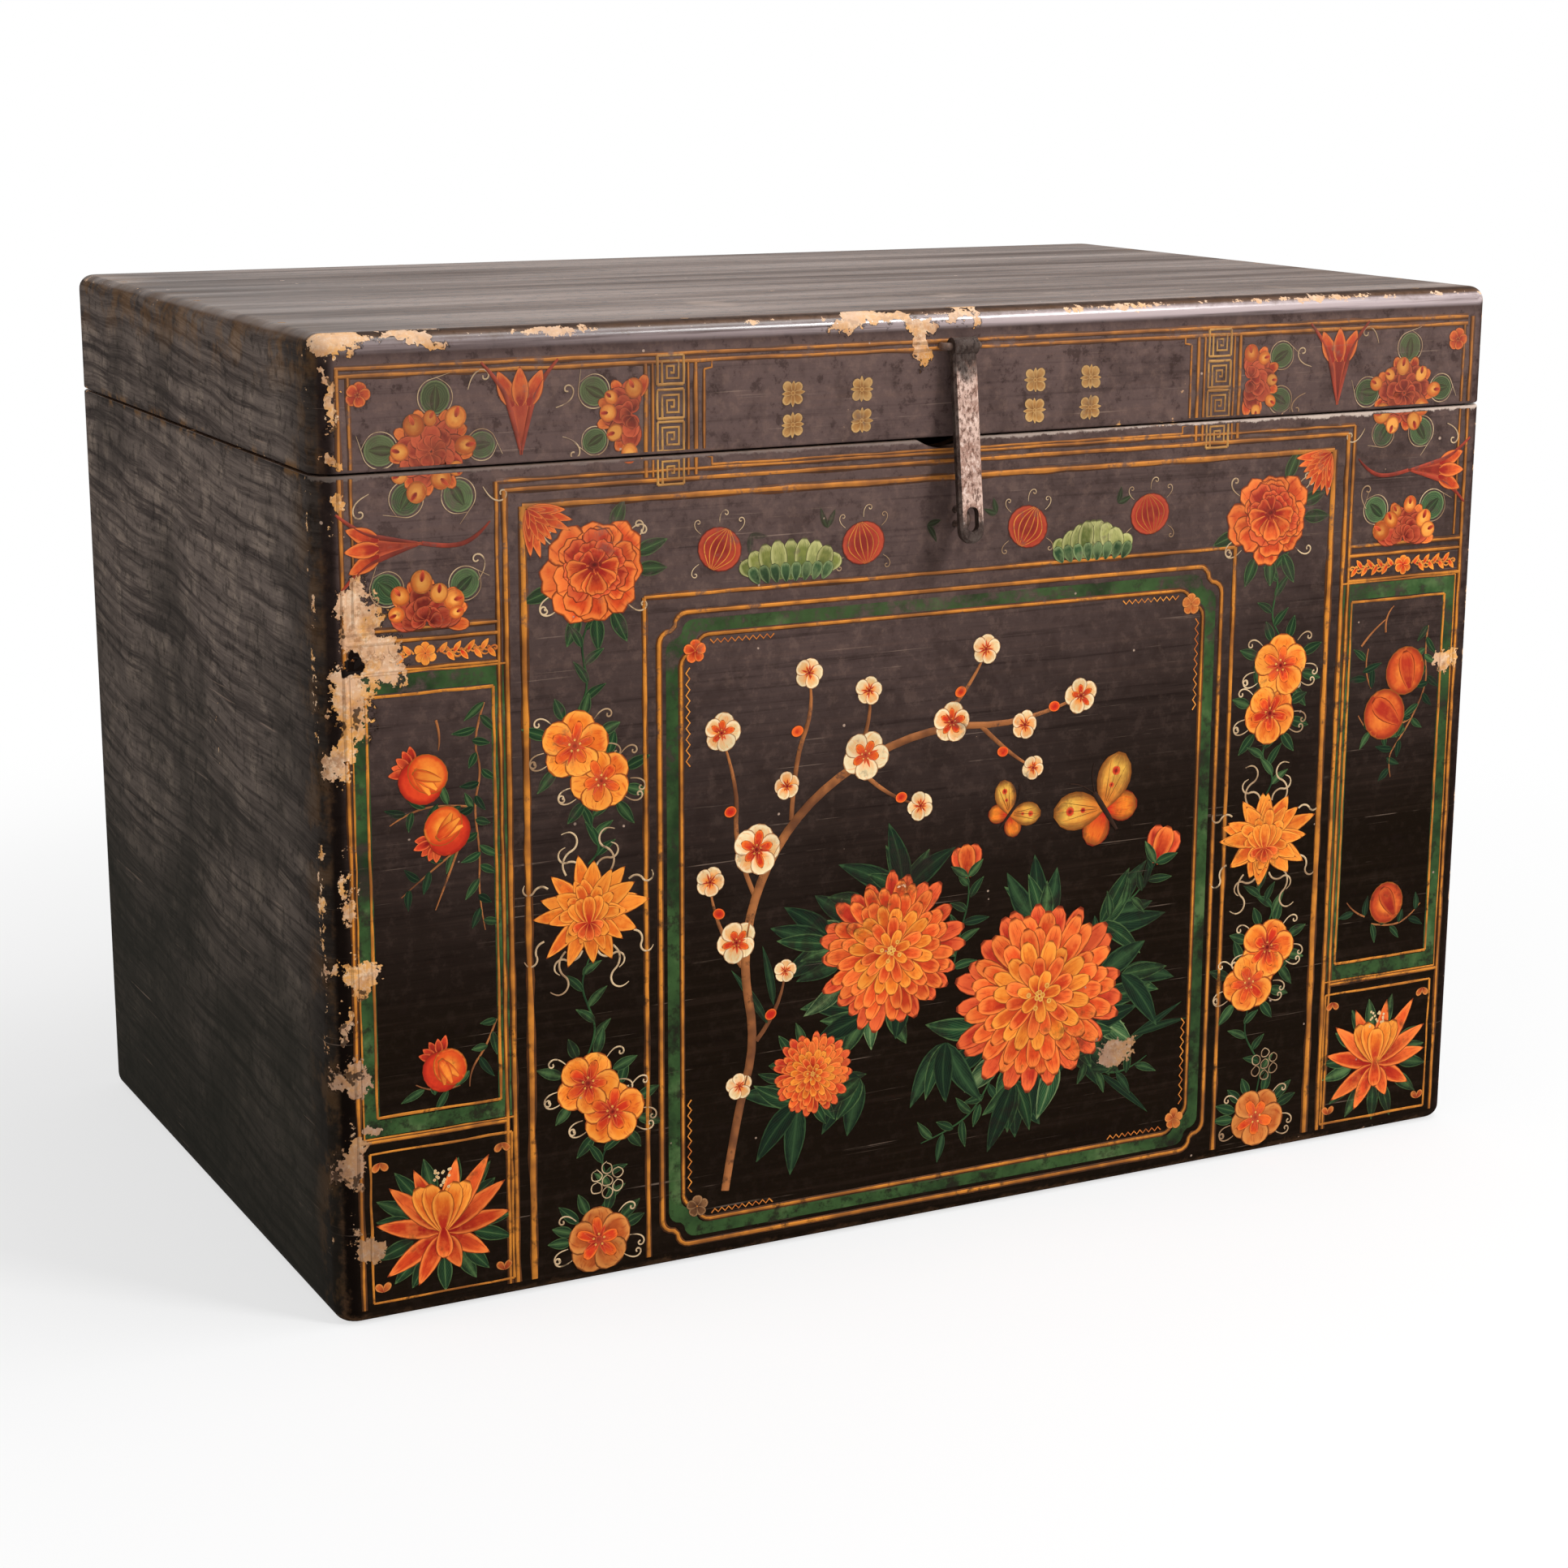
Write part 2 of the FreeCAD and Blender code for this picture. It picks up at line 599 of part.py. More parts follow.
rabbet = box("rabbet", (FLOOR_X[0], FLOOR_Y[0], "0"), (FLOOR_X[1], FLOOR_Y[1], "bottom_thickness"))
lower_zone = box("lower_zone", (LEFT, FRONT, "0"), (RIGHT, BACK, "lower_plank_height"))
upper_zone = box("upper_zone", (LEFT, FRONT, "lower_plank_height"), (RIGHT, BACK, RIM))
dip = rod("rim_dip", ("dip_offset", FRONT, f"{RIM} + dip_radius - dip_depth"), "dip_radius",
          "front_thickness", ALONG_Y)
upper_extras = {"front": lock_staple_holes + [dip], "back": base_nail_holes}

parts = {}
for wall, board in base_walls.items():
    lower = group("Part::MultiCommon", f"{wall}_lower_blank", [board, lower_zone])
    lower = cut(f"{wall}_lower_rebated", lower, rabbet)
    name = f"{wall}_lower_plank"
    parts[name] = bored(name, lower, base_block, wall_holes[wall] + floor_peg_holes)
    upper = group("Part::MultiCommon", f"{wall}_upper_blank", [board, upper_zone])
    name = f"{wall}_upper_plank"
    parts[name] = bored(name, upper, base_block, wall_holes[wall] + upper_extras.get(wall, []))
for where, blank in zip(BOARD_NAMES, floor_blanks):
    name = f"bottom_plank_{where}"
    parts[name] = bored(name, blank, base_block, floor_dowel_holes + floor_peg_holes)

rail_extras = {"front": hasp_staple_holes, "back": lid_nail_holes}
for wall, board in lid_walls.items():
    name = f"lid_{wall}_rail"
    parts[name] = bored(name, board, lid_block, top_peg_holes + rail_extras.get(wall, []))
for where, blank in zip(BOARD_NAMES, top_blanks):
    name = f"top_plank_{where}"
    parts[name] = bored(name, blank, lid_block, top_dowel_holes + top_peg_holes + batten_peg_holes)
for side, x in BATTEN_X.items():
    name = f"lid_batten_{side}"
    low = (f"{x} - batten_width/2", f"{FRONT_IN} + batten_clearance", f"{TOP_UNDER} - batten_thickness")
    high = (f"{x} + batten_width/2", f"{BACK_IN} - batten_clearance", TOP_UNDER)
    holes = group("Part::Compound", f"{name}_holes", batten_peg_holes)
    parts[name] = cut(name, box(f"{name}_blank", low, high), holes)

for name, members in (("wall_dowels", wall_dowels), ("bottom_dowels", floor_dowels),
                      ("bottom_pegs", floor_pegs), ("top_dowels", top_dowels), ("top_pegs", top_pegs),
                      ("batten_pegs", batten_pegs), ("hinge_base_nails", base_nails),
                      ("hinge_lid_nails", lid_nails)):
    parts[name] = group("Part::Compound", name, members)
parts.update(hinge_parts)
parts["hasp_staple"] = hasp_staple_wire
parts["lock_staple"] = lock_staple_wire
parts["hasp"] = hasp_bar

doc.recompute()

# Every object has to be sound before anything is written
for item in doc.Objects:
    if "Invalid" in item.State or "Error" in item.State:
        raise RuntimeError(f"{item.Name} failed: {item.State}")
for name, item in parts.items():
    item.Label = name
    if item.Shape.isNull() or not item.Shape.isValid():
        raise RuntimeError(f"{name} has no sound shape")

os.makedirs("parts", exist_ok=True)
for name, item in parts.items():
    item.Shape.exportStep(f"parts/{name}.step")
    box_size = item.Shape.BoundBox
    print(f"{name}: {len(item.Shape.Solids)} solids, {item.Shape.Volume / 1000:.1f} cm3, "
          f"{box_size.XLength:.1f} x {box_size.YLength:.1f} x {box_size.ZLength:.1f}")
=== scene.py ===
"""Looks of the painted wooden trunk: worn lacquer, the painted front, bare wood and iron.

Metres, +Z up, the front faces -Y. The painting is laid out in millimetres on the front face, with x
from the middle and z from the floor. Colours are written as they show, from 0 to 255.
"""
import math
import random

import bmesh
import bpy
from mathutils import Matrix, Vector


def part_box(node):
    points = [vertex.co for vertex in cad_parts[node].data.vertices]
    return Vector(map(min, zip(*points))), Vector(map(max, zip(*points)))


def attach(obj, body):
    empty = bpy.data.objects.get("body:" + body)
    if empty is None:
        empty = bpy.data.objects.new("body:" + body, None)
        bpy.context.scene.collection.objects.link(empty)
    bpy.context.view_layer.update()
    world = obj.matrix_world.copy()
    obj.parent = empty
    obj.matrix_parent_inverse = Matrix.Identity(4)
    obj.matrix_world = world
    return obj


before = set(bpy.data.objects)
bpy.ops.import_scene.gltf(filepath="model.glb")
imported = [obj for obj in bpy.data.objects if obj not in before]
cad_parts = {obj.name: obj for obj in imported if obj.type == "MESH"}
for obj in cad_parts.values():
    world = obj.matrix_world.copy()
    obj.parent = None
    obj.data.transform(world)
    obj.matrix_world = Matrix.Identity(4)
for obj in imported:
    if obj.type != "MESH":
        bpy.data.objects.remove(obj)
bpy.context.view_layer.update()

MM = 0.001
TURN = 2 * math.pi
RIGHT_ANGLE = math.pi / 2
rng = random.Random(7)

# Places read from the solids
front_low, front_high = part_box("front_upper_plank")
rail_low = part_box("lid_front_rail")[0]
top_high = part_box("top_plank_front")[1]
FRONT = front_low.y
HALF_WIDTH = top_high.x
HALF_DEPTH = -FRONT
TOP = top_high.z
RIM, LID_RIM = front_high.z, rail_low.z
SEAM = (RIM + LID_RIM) / 2
JOINT = front_low.z
RIM_ROUND = 1.9 * MM


def rgb(red, green, blue):
    """A colour as it shows, turned into the light values that a shader works with."""
    linear = [((c / 255 + 0.055) / 1.055) ** 2.4 if c > 10 else c / 255 / 12.92 for c in (red, green, blue)]
    return (*linear, 1.0)


def mixed(colour, other, share):
    return tuple(a + (b - a) * share for a, b in zip(colour, other))


# Shader maths


class Value:
    """One shader socket that takes part in Python sums."""

    def __init__(self, finish, socket):
        self.finish, self.socket = finish, socket

    def math(self, operation, *others):
        inputs = dict(enumerate((self, *others)))
        return self.finish.node("ShaderNodeMath", {"operation": operation}, inputs)

    def __add__(self, other):
        return self.math("ADD", other)

    __radd__ = __add__

    def __mul__(self, other):
        return self.math("MULTIPLY", other)

    __rmul__ = __mul__

    def __sub__(self, other):
        return self.math("SUBTRACT", other)

    def __rsub__(self, other):
        return self.finish.node("ShaderNodeMath", {"operation": "SUBTRACT"}, {0: other, 1: self})

    def __abs__(self):
        return self.math("ABSOLUTE")

    def least(self, other):
        return self.math("MINIMUM", other)

    def most(self, other):
        return self.math("MAXIMUM", other)

    def rise(self, start, end):
        """0 up to start, 1 from end on, and a smooth step between."""
        inputs = {"Value": self, "From Min": start, "From Max": end}
        return self.finish.node("ShaderNodeMapRange", {"interpolation_type": "SMOOTHSTEP"}, inputs)

    def fall(self, start, end):
        return 1 - self.rise(start, end)


class Finish:
    """A material or a world under way, with one method that adds any node."""

    def __init__(self, owner):
        self.owner = owner
        owner.use_nodes = True
        self.tree = owner.node_tree
        self.tree.nodes.clear()

    def node(self, kind, settings=None, inputs=None, output=0):
        made = self.tree.nodes.new(kind)
        for name, value in (settings or {}).items():
            setattr(made, name, value)
        for name, value in (inputs or {}).items():
            if isinstance(value, Value):
                self.tree.links.new(value.socket, made.inputs[name])
            else:
                made.inputs[name].default_value = value
        return Value(self, made.outputs[output]) if len(made.outputs) else None

    def split(self, vector):
        outputs = self.node("ShaderNodeSeparateXYZ", None, {0: vector}).socket.node.outputs
        return [Value(self, outputs[axis]) for axis in range(3)]

    def combine(self, x, y, z):
        return self.node("ShaderNodeCombineXYZ", None, {0: x, 1: y, 2: z})

    def vector(self, operation, first, second):
        return self.node("ShaderNodeVectorMath", {"operation": operation}, {0: first, 1: second})

    def length(self, vector):
        return self.node("ShaderNodeVectorMath", {"operation": "LENGTH"}, {0: vector}, "Value")

    def noise(self, vector, scale, detail, roughness=0.55, distortion=0.0):
        inputs = {"Vector": vector, "Scale": scale, "Detail": detail, "Roughness": roughness,
                  "Distortion": distortion}
        return self.node("ShaderNodeTexNoise", None, inputs)

    def streaks(self, vector, scales, detail, roughness):
        """Noise with its own scale along each axis."""
        return self.noise(self.vector("MULTIPLY", vector, scales), 1.0, detail, roughness)

    def mix(self, share, first, second):
        return self.node("ShaderNodeMix", {"data_type": "RGBA"}, {0: share, 6: first, 7: second}, 2)

    def layers(self, colour, *coats):
        """A colour under coats, each of them a share and the colour that it brings in."""
        for share, over in coats:
            colour = self.mix(share, colour, over)
        return colour

    def attribute(self, name):
        return self.node("ShaderNodeAttribute", {"attribute_name": name}, output="Color")

    def coords(self, kind):
        return self.node("ShaderNodeTexCoord", output=kind)

    def surface(self, varying, height, bump, depth, **constants):
        """Ends the material: varying sockets, fixed ones and a bump from a height."""
        relief = {"Strength": bump, "Distance": depth, "Height": height}
        inputs = {**varying, "Normal": self.node("ShaderNodeBump", None, relief)}
        for name, value in constants.items():
            inputs[name.replace("_", " ").title().replace("Ior", "IOR")] = value
        shader = self.node("ShaderNodeBsdfPrincipled", None, inputs)
        self.node("ShaderNodeOutputMaterial", None, {"Surface": shader})
        return self.owner


def new_finish(name):
    return Finish(bpy.data.materials.new(name))


# Bare timber, which also shows wherever the lacquer has gone


def timber(m, place, along_y):
    """Colour and height of plain wood whose grain follows X, or Y where along_y is 1."""
    lengthwise = m.vector("MULTIPLY", place, (3.0, 46.0, 46.0))
    crosswise = m.vector("MULTIPLY", place, (46.0, 3.0, 46.0))
    choice = {0: along_y, 4: lengthwise, 5: crosswise}
    stretched = m.node("ShaderNodeMix", {"data_type": "VECTOR"}, choice, 1)
    figure = m.noise(stretched, 1.0, 5.0, 0.6, 0.6)
    fibre = m.noise(stretched, 7.0, 3.0, 0.7)
    colour = m.layers(
        rgb(122, 88, 60), (figure.rise(0.3, 0.72), rgb(164, 126, 90)),
        (fibre.rise(0.5, 0.8) * 0.45, rgb(70, 46, 30)))
    return colour, figure * 0.6 + fibre * 0.4


# Lacquer: the finish of the outer faces and everything that time has done to it


class Blot:
    """A patch on the front where the lacquer has come away: middle and half sizes in millimetres."""

    def __init__(self, x, z, half_width, half_height):
        self.scale = (1 / (half_width * MM), 0.0, 1 / (half_height * MM))
        self.shift = (-x / half_width, 0.0, -z / half_height)


LOSSES = [
    Blot(-389, 430, 12, 22), Blot(-381, 405, 20, 15), Blot(-370, 398, 10, 9), Blot(-397, 379, 11, 24),
    Blot(-403, 353, 7, 22), Blot(-403, 557, 4, 17), Blot(-400, 585, 15, 6), Blot(-404, 521, 3, 5),
    Blot(-403, 497, 4, 6), Blot(-396, 217, 15, 9), Blot(-405, 189, 4, 9), Blot(-399, 157, 12, 12),
    Blot(-388, 122, 8, 4), Blot(-403, 104, 8, 17), Blot(-398, 48, 12, 10), Blot(-352, 585, 20, 4),
    Blot(-60, 584, 30, 5), Blot(-25, 579, 15, 5), Blot(-24, 570, 6, 11), Blot(8, 583, 11, 4),
    Blot(394, 336, 9, 7), Blot(131, 92, 12, 11)]

BARE_SPOT = Blot(-394, 404, 6, 10)


def lacquer(m, boards=False):
    """Named sockets of the worn lacquer. Paint only needs the front; boards show every face."""
    place = m.coords("Object")
    x, y, z = m.split(place)
    coarse = m.noise(place, 16.0, 4.0, 0.65)
    fine = m.noise(place, 110.0, 4.0, 0.7)
    grit = m.noise(place, 330.0, 3.0, 0.7)
    ragged = coarse * 0.45 + fine * 0.35 + grit * 0.2
    cloud = m.noise(place, 5.0, 2.0, 0.6)
    grain = m.streaks(place, (4.0, 190.0, 190.0), 4.0, 0.7)
    tear = m.noise(place, 38.0, 4.0, 0.68)
    other = m.noise(m.vector("ADD", place, (3.1, 1.7, 5.3)), 38.0, 4.0, 0.68)

    below_top = TOP - z
    side_gap = HALF_WIDTH - abs(x)
    face_gap = HALF_DEPTH - abs(y)
    from_front = y + HALF_DEPTH
    on_front = from_front.fall(0.010, 0.013)
    left_corner = (x + HALF_WIDTH).most(from_front)
    right_corner = (HALF_WIDTH - x).most(from_front)
    lid_edge = below_top.most(from_front)
    from_seam = abs(z - SEAM)

    # Front: nearly black low down, paler and greyer towards the lid, mottled all over, with a painted
    # highlight along the lid's front edge
    cloudy_height = z + (cloud - 0.5) * 0.12
    dulling_upward = cloudy_height.rise(0.36, 0.60)
    paling_upward = (cloudy_height - x.rise(-0.15, 0.25) * 0.05).rise(0.17, 0.57)
    # Painted highlight on the lid's rounded front edge, stronger towards the right
    painted_edge_highlight = below_top.rise(0.002, 0.0045) * below_top.fall(0.0085, 0.0125)
    painted_edge_highlight = painted_edge_highlight * (0.35 + x.rise(-0.3, 0.1) * 0.65)
    coat = m.layers(
        rgb(25, 18, 12), (paling_upward, rgb(97, 79, 75)),
        (grain.rise(0.48, 0.72) * (0.05 + paling_upward * 0.2), rgb(112, 86, 74)),
        (grain.fall(0.30, 0.48) * (0.5 - dulling_upward * 0.25), rgb(18, 12, 9)),
        (tear.fall(0.36, 0.52) * 0.24, rgb(26, 18, 14)),
        (fine.rise(0.50, 0.66) * (0.02 + paling_upward * 0.26), rgb(132, 106, 94)),
        (fine.fall(0.34, 0.46) * (0.2 + dulling_upward * 0.35), rgb(40, 29, 26)),
        (left_corner.fall(0.009, 0.016) * 0.85, rgb(15, 10, 8)),
        ((right_corner + (fine - 0.5) * 0.01).fall(0.004, 0.012) * 0.7, rgb(40, 27, 27)),
        (below_top.fall(0.010, 0.018) * 0.6, rgb(52, 39, 37)),
        (painted_edge_highlight * grain.rise(0.25, 0.55) * 0.8, rgb(200, 182, 182)))
    gloss = lid_edge.fall(0.010, 0.020) * 0.96 + 0.04

    # Where small chips are likely: along the corners, the lid's edge and the seam
    urge = left_corner.fall(0.013, 0.024) * left_corner.rise(0.005, 0.010) * 0.10
    urge = urge + lid_edge.fall(0.001, 0.010) * 0.10 + from_seam.fall(0.0, 0.006) * 0.06
    urge = urge + right_corner.fall(0.002, 0.012) * 0.09

    if boards:
        across, deep, upright = m.split(m.coords("Normal"))
        on_end, on_top, on_back = (side.rise(0.55, 0.8) for side in (abs(across), upright, deep))
        wood, wood_height = timber(m, place, on_end)
        joint = abs(z - JOINT + (grain - 0.5) * 0.001).fall(0.0004, 0.0014)
        # Ends: cloudy grey-brown, brushed along the boards, with painted shade darkening them towards the
        # foot
        brushed = m.combine(x * 20, y * 6 + z * 3, z * 150 - y * 10 + cloud * 4)
        hatch = m.noise(brushed, 1.0, 6.0, 0.78)
        stained = below_top.fall(0.004, 0.045).most((side_gap + from_front).fall(0.01, 0.05) * 0.5)
        end = m.layers(
            rgb(58, 49, 45), (hatch.rise(0.34, 0.64), rgb(110, 97, 89)),
            (tear.rise(0.48, 0.66) * hatch.rise(0.4, 0.6) * 0.7, rgb(140, 124, 111)),
            ((coarse * 0.5 + cloud * 0.5).fall(0.38, 0.54) * 0.6, rgb(42, 36, 32)),
            (fine.fall(0.36, 0.48) * 0.5, rgb(26, 21, 17)),
            # Painted shade low on the ends, where the floor is near
            ((z + (cloud - 0.5) * 0.3).fall(0.02, 0.50) * 0.9, rgb(30, 29, 21)),
            (from_front.fall(0.0, 0.07) * 0.75, rgb(20, 14, 10)),
            (stained * tear.rise(0.46, 0.60) * 0.55, rgb(108, 76, 44)),
            (from_seam.fall(0.001, 0.005) * 0.6, rgb(22, 17, 14)),
            (from_seam.fall(0.001, 0.007) * tear.rise(0.52, 0.60) * 0.6, rgb(122, 86, 48)),
            (joint * 0.45, rgb(20, 15, 12)))
        # Top: grey-brown with pale streaks along the boards
        streak = m.streaks(place, (2.2, 30.0, 30.0), 4.0, 0.6)
        top = m.layers(
            rgb(72, 52, 41), (streak.rise(0.3, 0.7), rgb(114, 89, 75)),
            (streak.rise(0.56, 0.76) * 0.4, rgb(142, 117, 102)),
            (fine.fall(0.36, 0.50) * 0.5, rgb(40, 29, 23)),
            (grain.fall(0.32, 0.50) * 0.5, rgb(44, 32, 26)),
            ((x + (cloud - 0.5) * 0.3).fall(-0.42, -0.2) * 0.4, rgb(44, 34, 28)),
            (side_gap.fall(0.004, 0.05) * tear.rise(0.42, 0.58) * 0.6, rgb(92, 66, 44)))
        # Back: thin dark stain over bare boards
        back = m.layers(
            wood, (0.42 + coarse * 0.3 + grain * 0.3, rgb(38, 30, 25)),
            (fine.rise(0.52, 0.66) * tear.rise(0.48, 0.6) * 0.5, rgb(124, 98, 74)),
            (joint * 0.85, rgb(18, 13, 10)))
        # Edges: dark along the top's front, rubbed brown all round, and a painted highlight on the chest's
        # rim just under the seam, strongest to the right
        edging = (lid_edge + (fine - 0.5) * 0.008).fall(0.007, 0.014) * upright.rise(0.75, 0.95)
        edge = side_gap.least(face_gap).most(side_gap.most(face_gap).least(below_top.least(z)))
        rubbed = (edge + (ragged - 0.5) * 0.03).fall(0.0, 0.006)
        below = SEAM - z
        # Painted highlight along the chest's rim just under the seam, brighter towards the right
        rim_highlight = (below + (ragged - 0.5) * 0.016).fall(0.0016, 0.003) * below.rise(0.0, 0.0006) * on_front
        coat = m.layers(
            coat, (on_end, end), (on_top, top), (on_back, back), (edging * 0.7, rgb(34, 24, 20)),
            (rubbed * 0.6, rgb(92, 66, 46)), (rim_highlight * (0.15 + x.rise(-0.1, 0.2) * 0.65), rgb(206, 186, 172)))
        urge = urge + edge.fall(0.0, 0.012) * 0.06
        shining = upright.rise(0.26, 0.42) * upright.fall(0.60, 0.76)
        front_gloss = gloss * (1 - on_end) * (0.1 + shining * 0.9) + on_end * 0.04
        top_gloss = on_top * (0.16 + streak.rise(0.2, 0.8) * 0.36) * lid_edge.rise(0.008, 0.016)
        gloss = front_gloss.most(top_gloss)

    chips = (ragged + urge).rise(0.655, 0.668)

    # Patches that are gone altogether, with a torn outline
    torn = m.vector("ADD", place, m.combine((tear - 0.5) * 0.044, 0.0, (other - 0.5) * 0.044))

    def reach_of(blot):
        sums = {0: torn, 1: blot.scale, 2: blot.shift}
        return m.length(m.node("ShaderNodeVectorMath", {"operation": "MULTIPLY_ADD"}, sums))

    nearness = reach_of(LOSSES[0])
    for blot in LOSSES[1:]:
        nearness = nearness.least(reach_of(blot))
    nearness = nearness + (fine - 0.5) * 1.1 + (grit - 0.5) * 1.0
    gone = nearness.fall(0.94, 1.0) * on_front
    # Painted shade in a thin dark ring round each loss, standing in for the step at its edge
    loss_rim_shade = nearness.fall(1.0, 1.22) * on_front
    loss = gone.most(chips)

    # The ground under the lacquer: golden putty, pinkish gesso and dark wood
    ground = m.layers(
        rgb(226, 164, 92), (tear.rise(0.44, 0.60), rgb(216, 172, 136)),
        (grit.rise(0.48, 0.62) * 0.6, rgb(232, 204, 172)),
        (fine.fall(0.36, 0.47) * 0.55, rgb(140, 92, 56)),
        (other.rise(0.46, 0.56) * 0.4, rgb(166, 110, 66)),
        (below_top.fall(0.004, 0.012) * 0.45, rgb(216, 190, 168)),
        (z.fall(0.10, 0.26) * (0.3 + coarse * 0.6), rgb(122, 98, 86)),
        (other.rise(0.59, 0.61) * 0.85 * gone, rgb(40, 28, 21)),
        (reach_of(BARE_SPOT).fall(0.85, 1.0), rgb(22, 15, 12)))

    # Fine scratches along the boards and pale specks
    hair = m.streaks(place, (9.0, 9.0, 620.0), 2.0, 0.5)
    scratch = hair.rise(0.67, 0.74) * coarse.rise(0.46, 0.60)
    speckle = {"Vector": place, "Scale": 66.0, "Randomness": 1.0}
    cell = m.node("ShaderNodeTexVoronoi", None, speckle, "Distance")
    chosen, size = m.split(m.node("ShaderNodeTexVoronoi", None, speckle, "Color"))[:2]
    speck = (cell + (fine - 0.5) * 0.12 - size * 0.06).fall(0.02, 0.05) * chosen.rise(0.88, 0.89)
    marks = (scratch * 0.24).most(speck * 0.75)

    colour = m.layers(coat, (loss_rim_shade * 0.7, rgb(20, 13, 9)), (marks, rgb(190, 162, 142)), (loss, ground))
    height = grain * 0.3 + fine * 0.3
    dull = loss
    if boards:
        # Inner faces were never lacquered
        inward = side_gap.rise(0.0125, 0.013) * face_gap.rise(0.0125, 0.013) * below_top.rise(0.0105, 0.011)
        inward = inward.most(z.fall(0.0004, 0.0012) * abs(upright).rise(0.8, 0.9))
        colour = m.mix(inward, colour, wood)
        height = height + wood_height * 0.3
        dull = loss.most(inward)
        gloss = gloss * (1 - dull)
    return {"colour": colour, "gloss": gloss, "loss": loss, "marks": marks, "fine": fine, "coarse": coarse,
            "tear": tear, "height": height, "dull": dull, "dulling_upward": dulling_upward,
            "roughness": 0.42 + grain * 0.16 + dull * 0.3}


# Finishes of the solids


def lacquered_wood():
    m = new_finish("lacquered_wood")
    s = lacquer(m, True)
    varying = {"Base Color": s["colour"], "Roughness": s["roughness"], "Coat Weight": s["gloss"]}
    return m.surface(varying, s["height"], 0.5, 0.0007, specular_ior_level=0.0, coat_roughness=0.2)


def plain_wood(name, along_y, stain_scale, stained, strength, stain_colour, roughness, spread):
    """Unfinished wood with dark stains, which are full where the noise reaches the end of stained."""
    m = new_finish(name)
    place = m.coords("Object")
    colour, height = timber(m, place, along_y)
    stain = m.noise(place, stain_scale, 5.0, 0.6)
    colour = m.mix(stain.rise(*stained) * strength, colour, stain_colour)
    varying = {"Base Color": colour, "Roughness": roughness + stain * spread}
    return m.surface(varying, height, 0.5, 0.0006, specular_ior_level=0.3)


def peg_wood():
    m = new_finish("peg_wood")
    place = m.coords("Object")
    pores = m.noise(place, 420.0, 3.0, 0.6)
    rings = m.streaks(place, (160.0, 160.0, 30.0), 4.0, 0.6)
    colour = m.layers(
        rgb(96, 70, 48), (rings.rise(0.3, 0.7), rgb(150, 114, 78)),
        (pores.rise(0.55, 0.7) * 0.5, rgb(60, 42, 28)))
    varying = {"Base Color": colour, "Roughness": 0.66 + pores * 0.2}
    return m.surface(varying, pores, 0.4, 0.0003, specular_ior_level=0.3)


def iron():
    m = new_finish("rusted_iron")
    place = m.coords("Object")
    patch = m.noise(place, 70.0, 6.0, 0.65)
    grit = m.noise(place, 420.0, 4.0, 0.7)
    dents = m.noise(place, 150.0, 2.0, 0.5)
    colour = m.layers(
        rgb(58, 44, 38), (patch.rise(0.36, 0.62), rgb(104, 80, 68)),
        (grit.rise(0.54, 0.66) * 0.7, rgb(40, 28, 23)),
        (grit.fall(0.34, 0.46) * 0.5, rgb(134, 96, 72)),
        (dents.rise(0.60, 0.68) * 0.45, rgb(150, 130, 118)))
    varying = {"Base Color": colour, "Roughness": 0.42 + grit * 0.4,
               "Metallic": dents.rise(0.45, 0.65) * 0.35}
    return m.surface(varying, dents * 0.7 + grit * 0.3, 0.8, 0.0007, specular_ior_level=0.5)


def hasp_iron():
    """Forged iron: pale pinkish rust, black at both eyes, with painted shade on its left face and on the
    face towards the chest.
    """
    m = new_finish("hasp_iron")
    place = m.coords("Object")
    z = m.split(place)[2]
    across, deep = m.split(m.coords("Normal"))[:2]
    patch = m.noise(place, 90.0, 4.0, 0.65)
    grit = m.noise(m.vector("MULTIPLY", place, (1.0, 1.0, 0.5)), 520.0, 4.0, 0.72)
    level = z + (patch - 0.5) * 0.03
    dark_eyes_and_shade = level.rise(0.546, 0.558).most(level.fall(0.456, 0.470)) * 0.9
    # Painted shade on the left face and on the face turned to the chest
    dark_eyes_and_shade = dark_eyes_and_shade.most(across.fall(-0.8, -0.3) * 0.92).most(deep.rise(-0.2, 0.3) * 0.8)
    colour = m.layers(
        rgb(158, 120, 104), (patch.rise(0.36, 0.62), rgb(214, 182, 166)),
        (grit.rise(0.51, 0.60) * 0.8, rgb(84, 54, 42)),
        (grit.fall(0.34, 0.46) * 0.6, rgb(244, 224, 212)),
        (dark_eyes_and_shade, rgb(22, 15, 12)))
    varying = {"Base Color": colour, "Roughness": 0.5 + grit * 0.36, "Metallic": grit.fall(0.36, 0.5) * 0.2}
    return m.surface(varying, grit * 0.6 + patch * 0.4, 0.9, 0.0008, specular_ior_level=0.2)


# Paints on the front. Each one thins and chips with the lacquer under it.


def over_lacquer(m, paint, s, thin, roughness, metallic=0.0):
    """Paint dulled towards grey-brown higher up on the front, and worn through by losses, by marks and by
    the share thin.
    """
    bare = s["loss"].most(s["marks"]).most(thin)
    dulled = m.mix(s["dulling_upward"] * 0.42, paint, rgb(104, 80, 68))
    varying = {"Base Color": m.mix(bare, dulled, s["colour"]), "Roughness": s["dull"] * 0.3 + roughness}
    if metallic:
        varying["Metallic"] = (1 - bare) * metallic
    return m.surface(varying, s["height"], 0.5, 0.0006, specular_ior_level=0.06)


def brush_mark(m):
    """Place across and along a mark, the way in from its rim, and the mark's three shades."""
    u, v = m.split(m.coords("UV"))[:2]
    return u, v, u.least(1 - u).least(1 - v), *(m.attribute(name) for name in SHADE_NAMES)


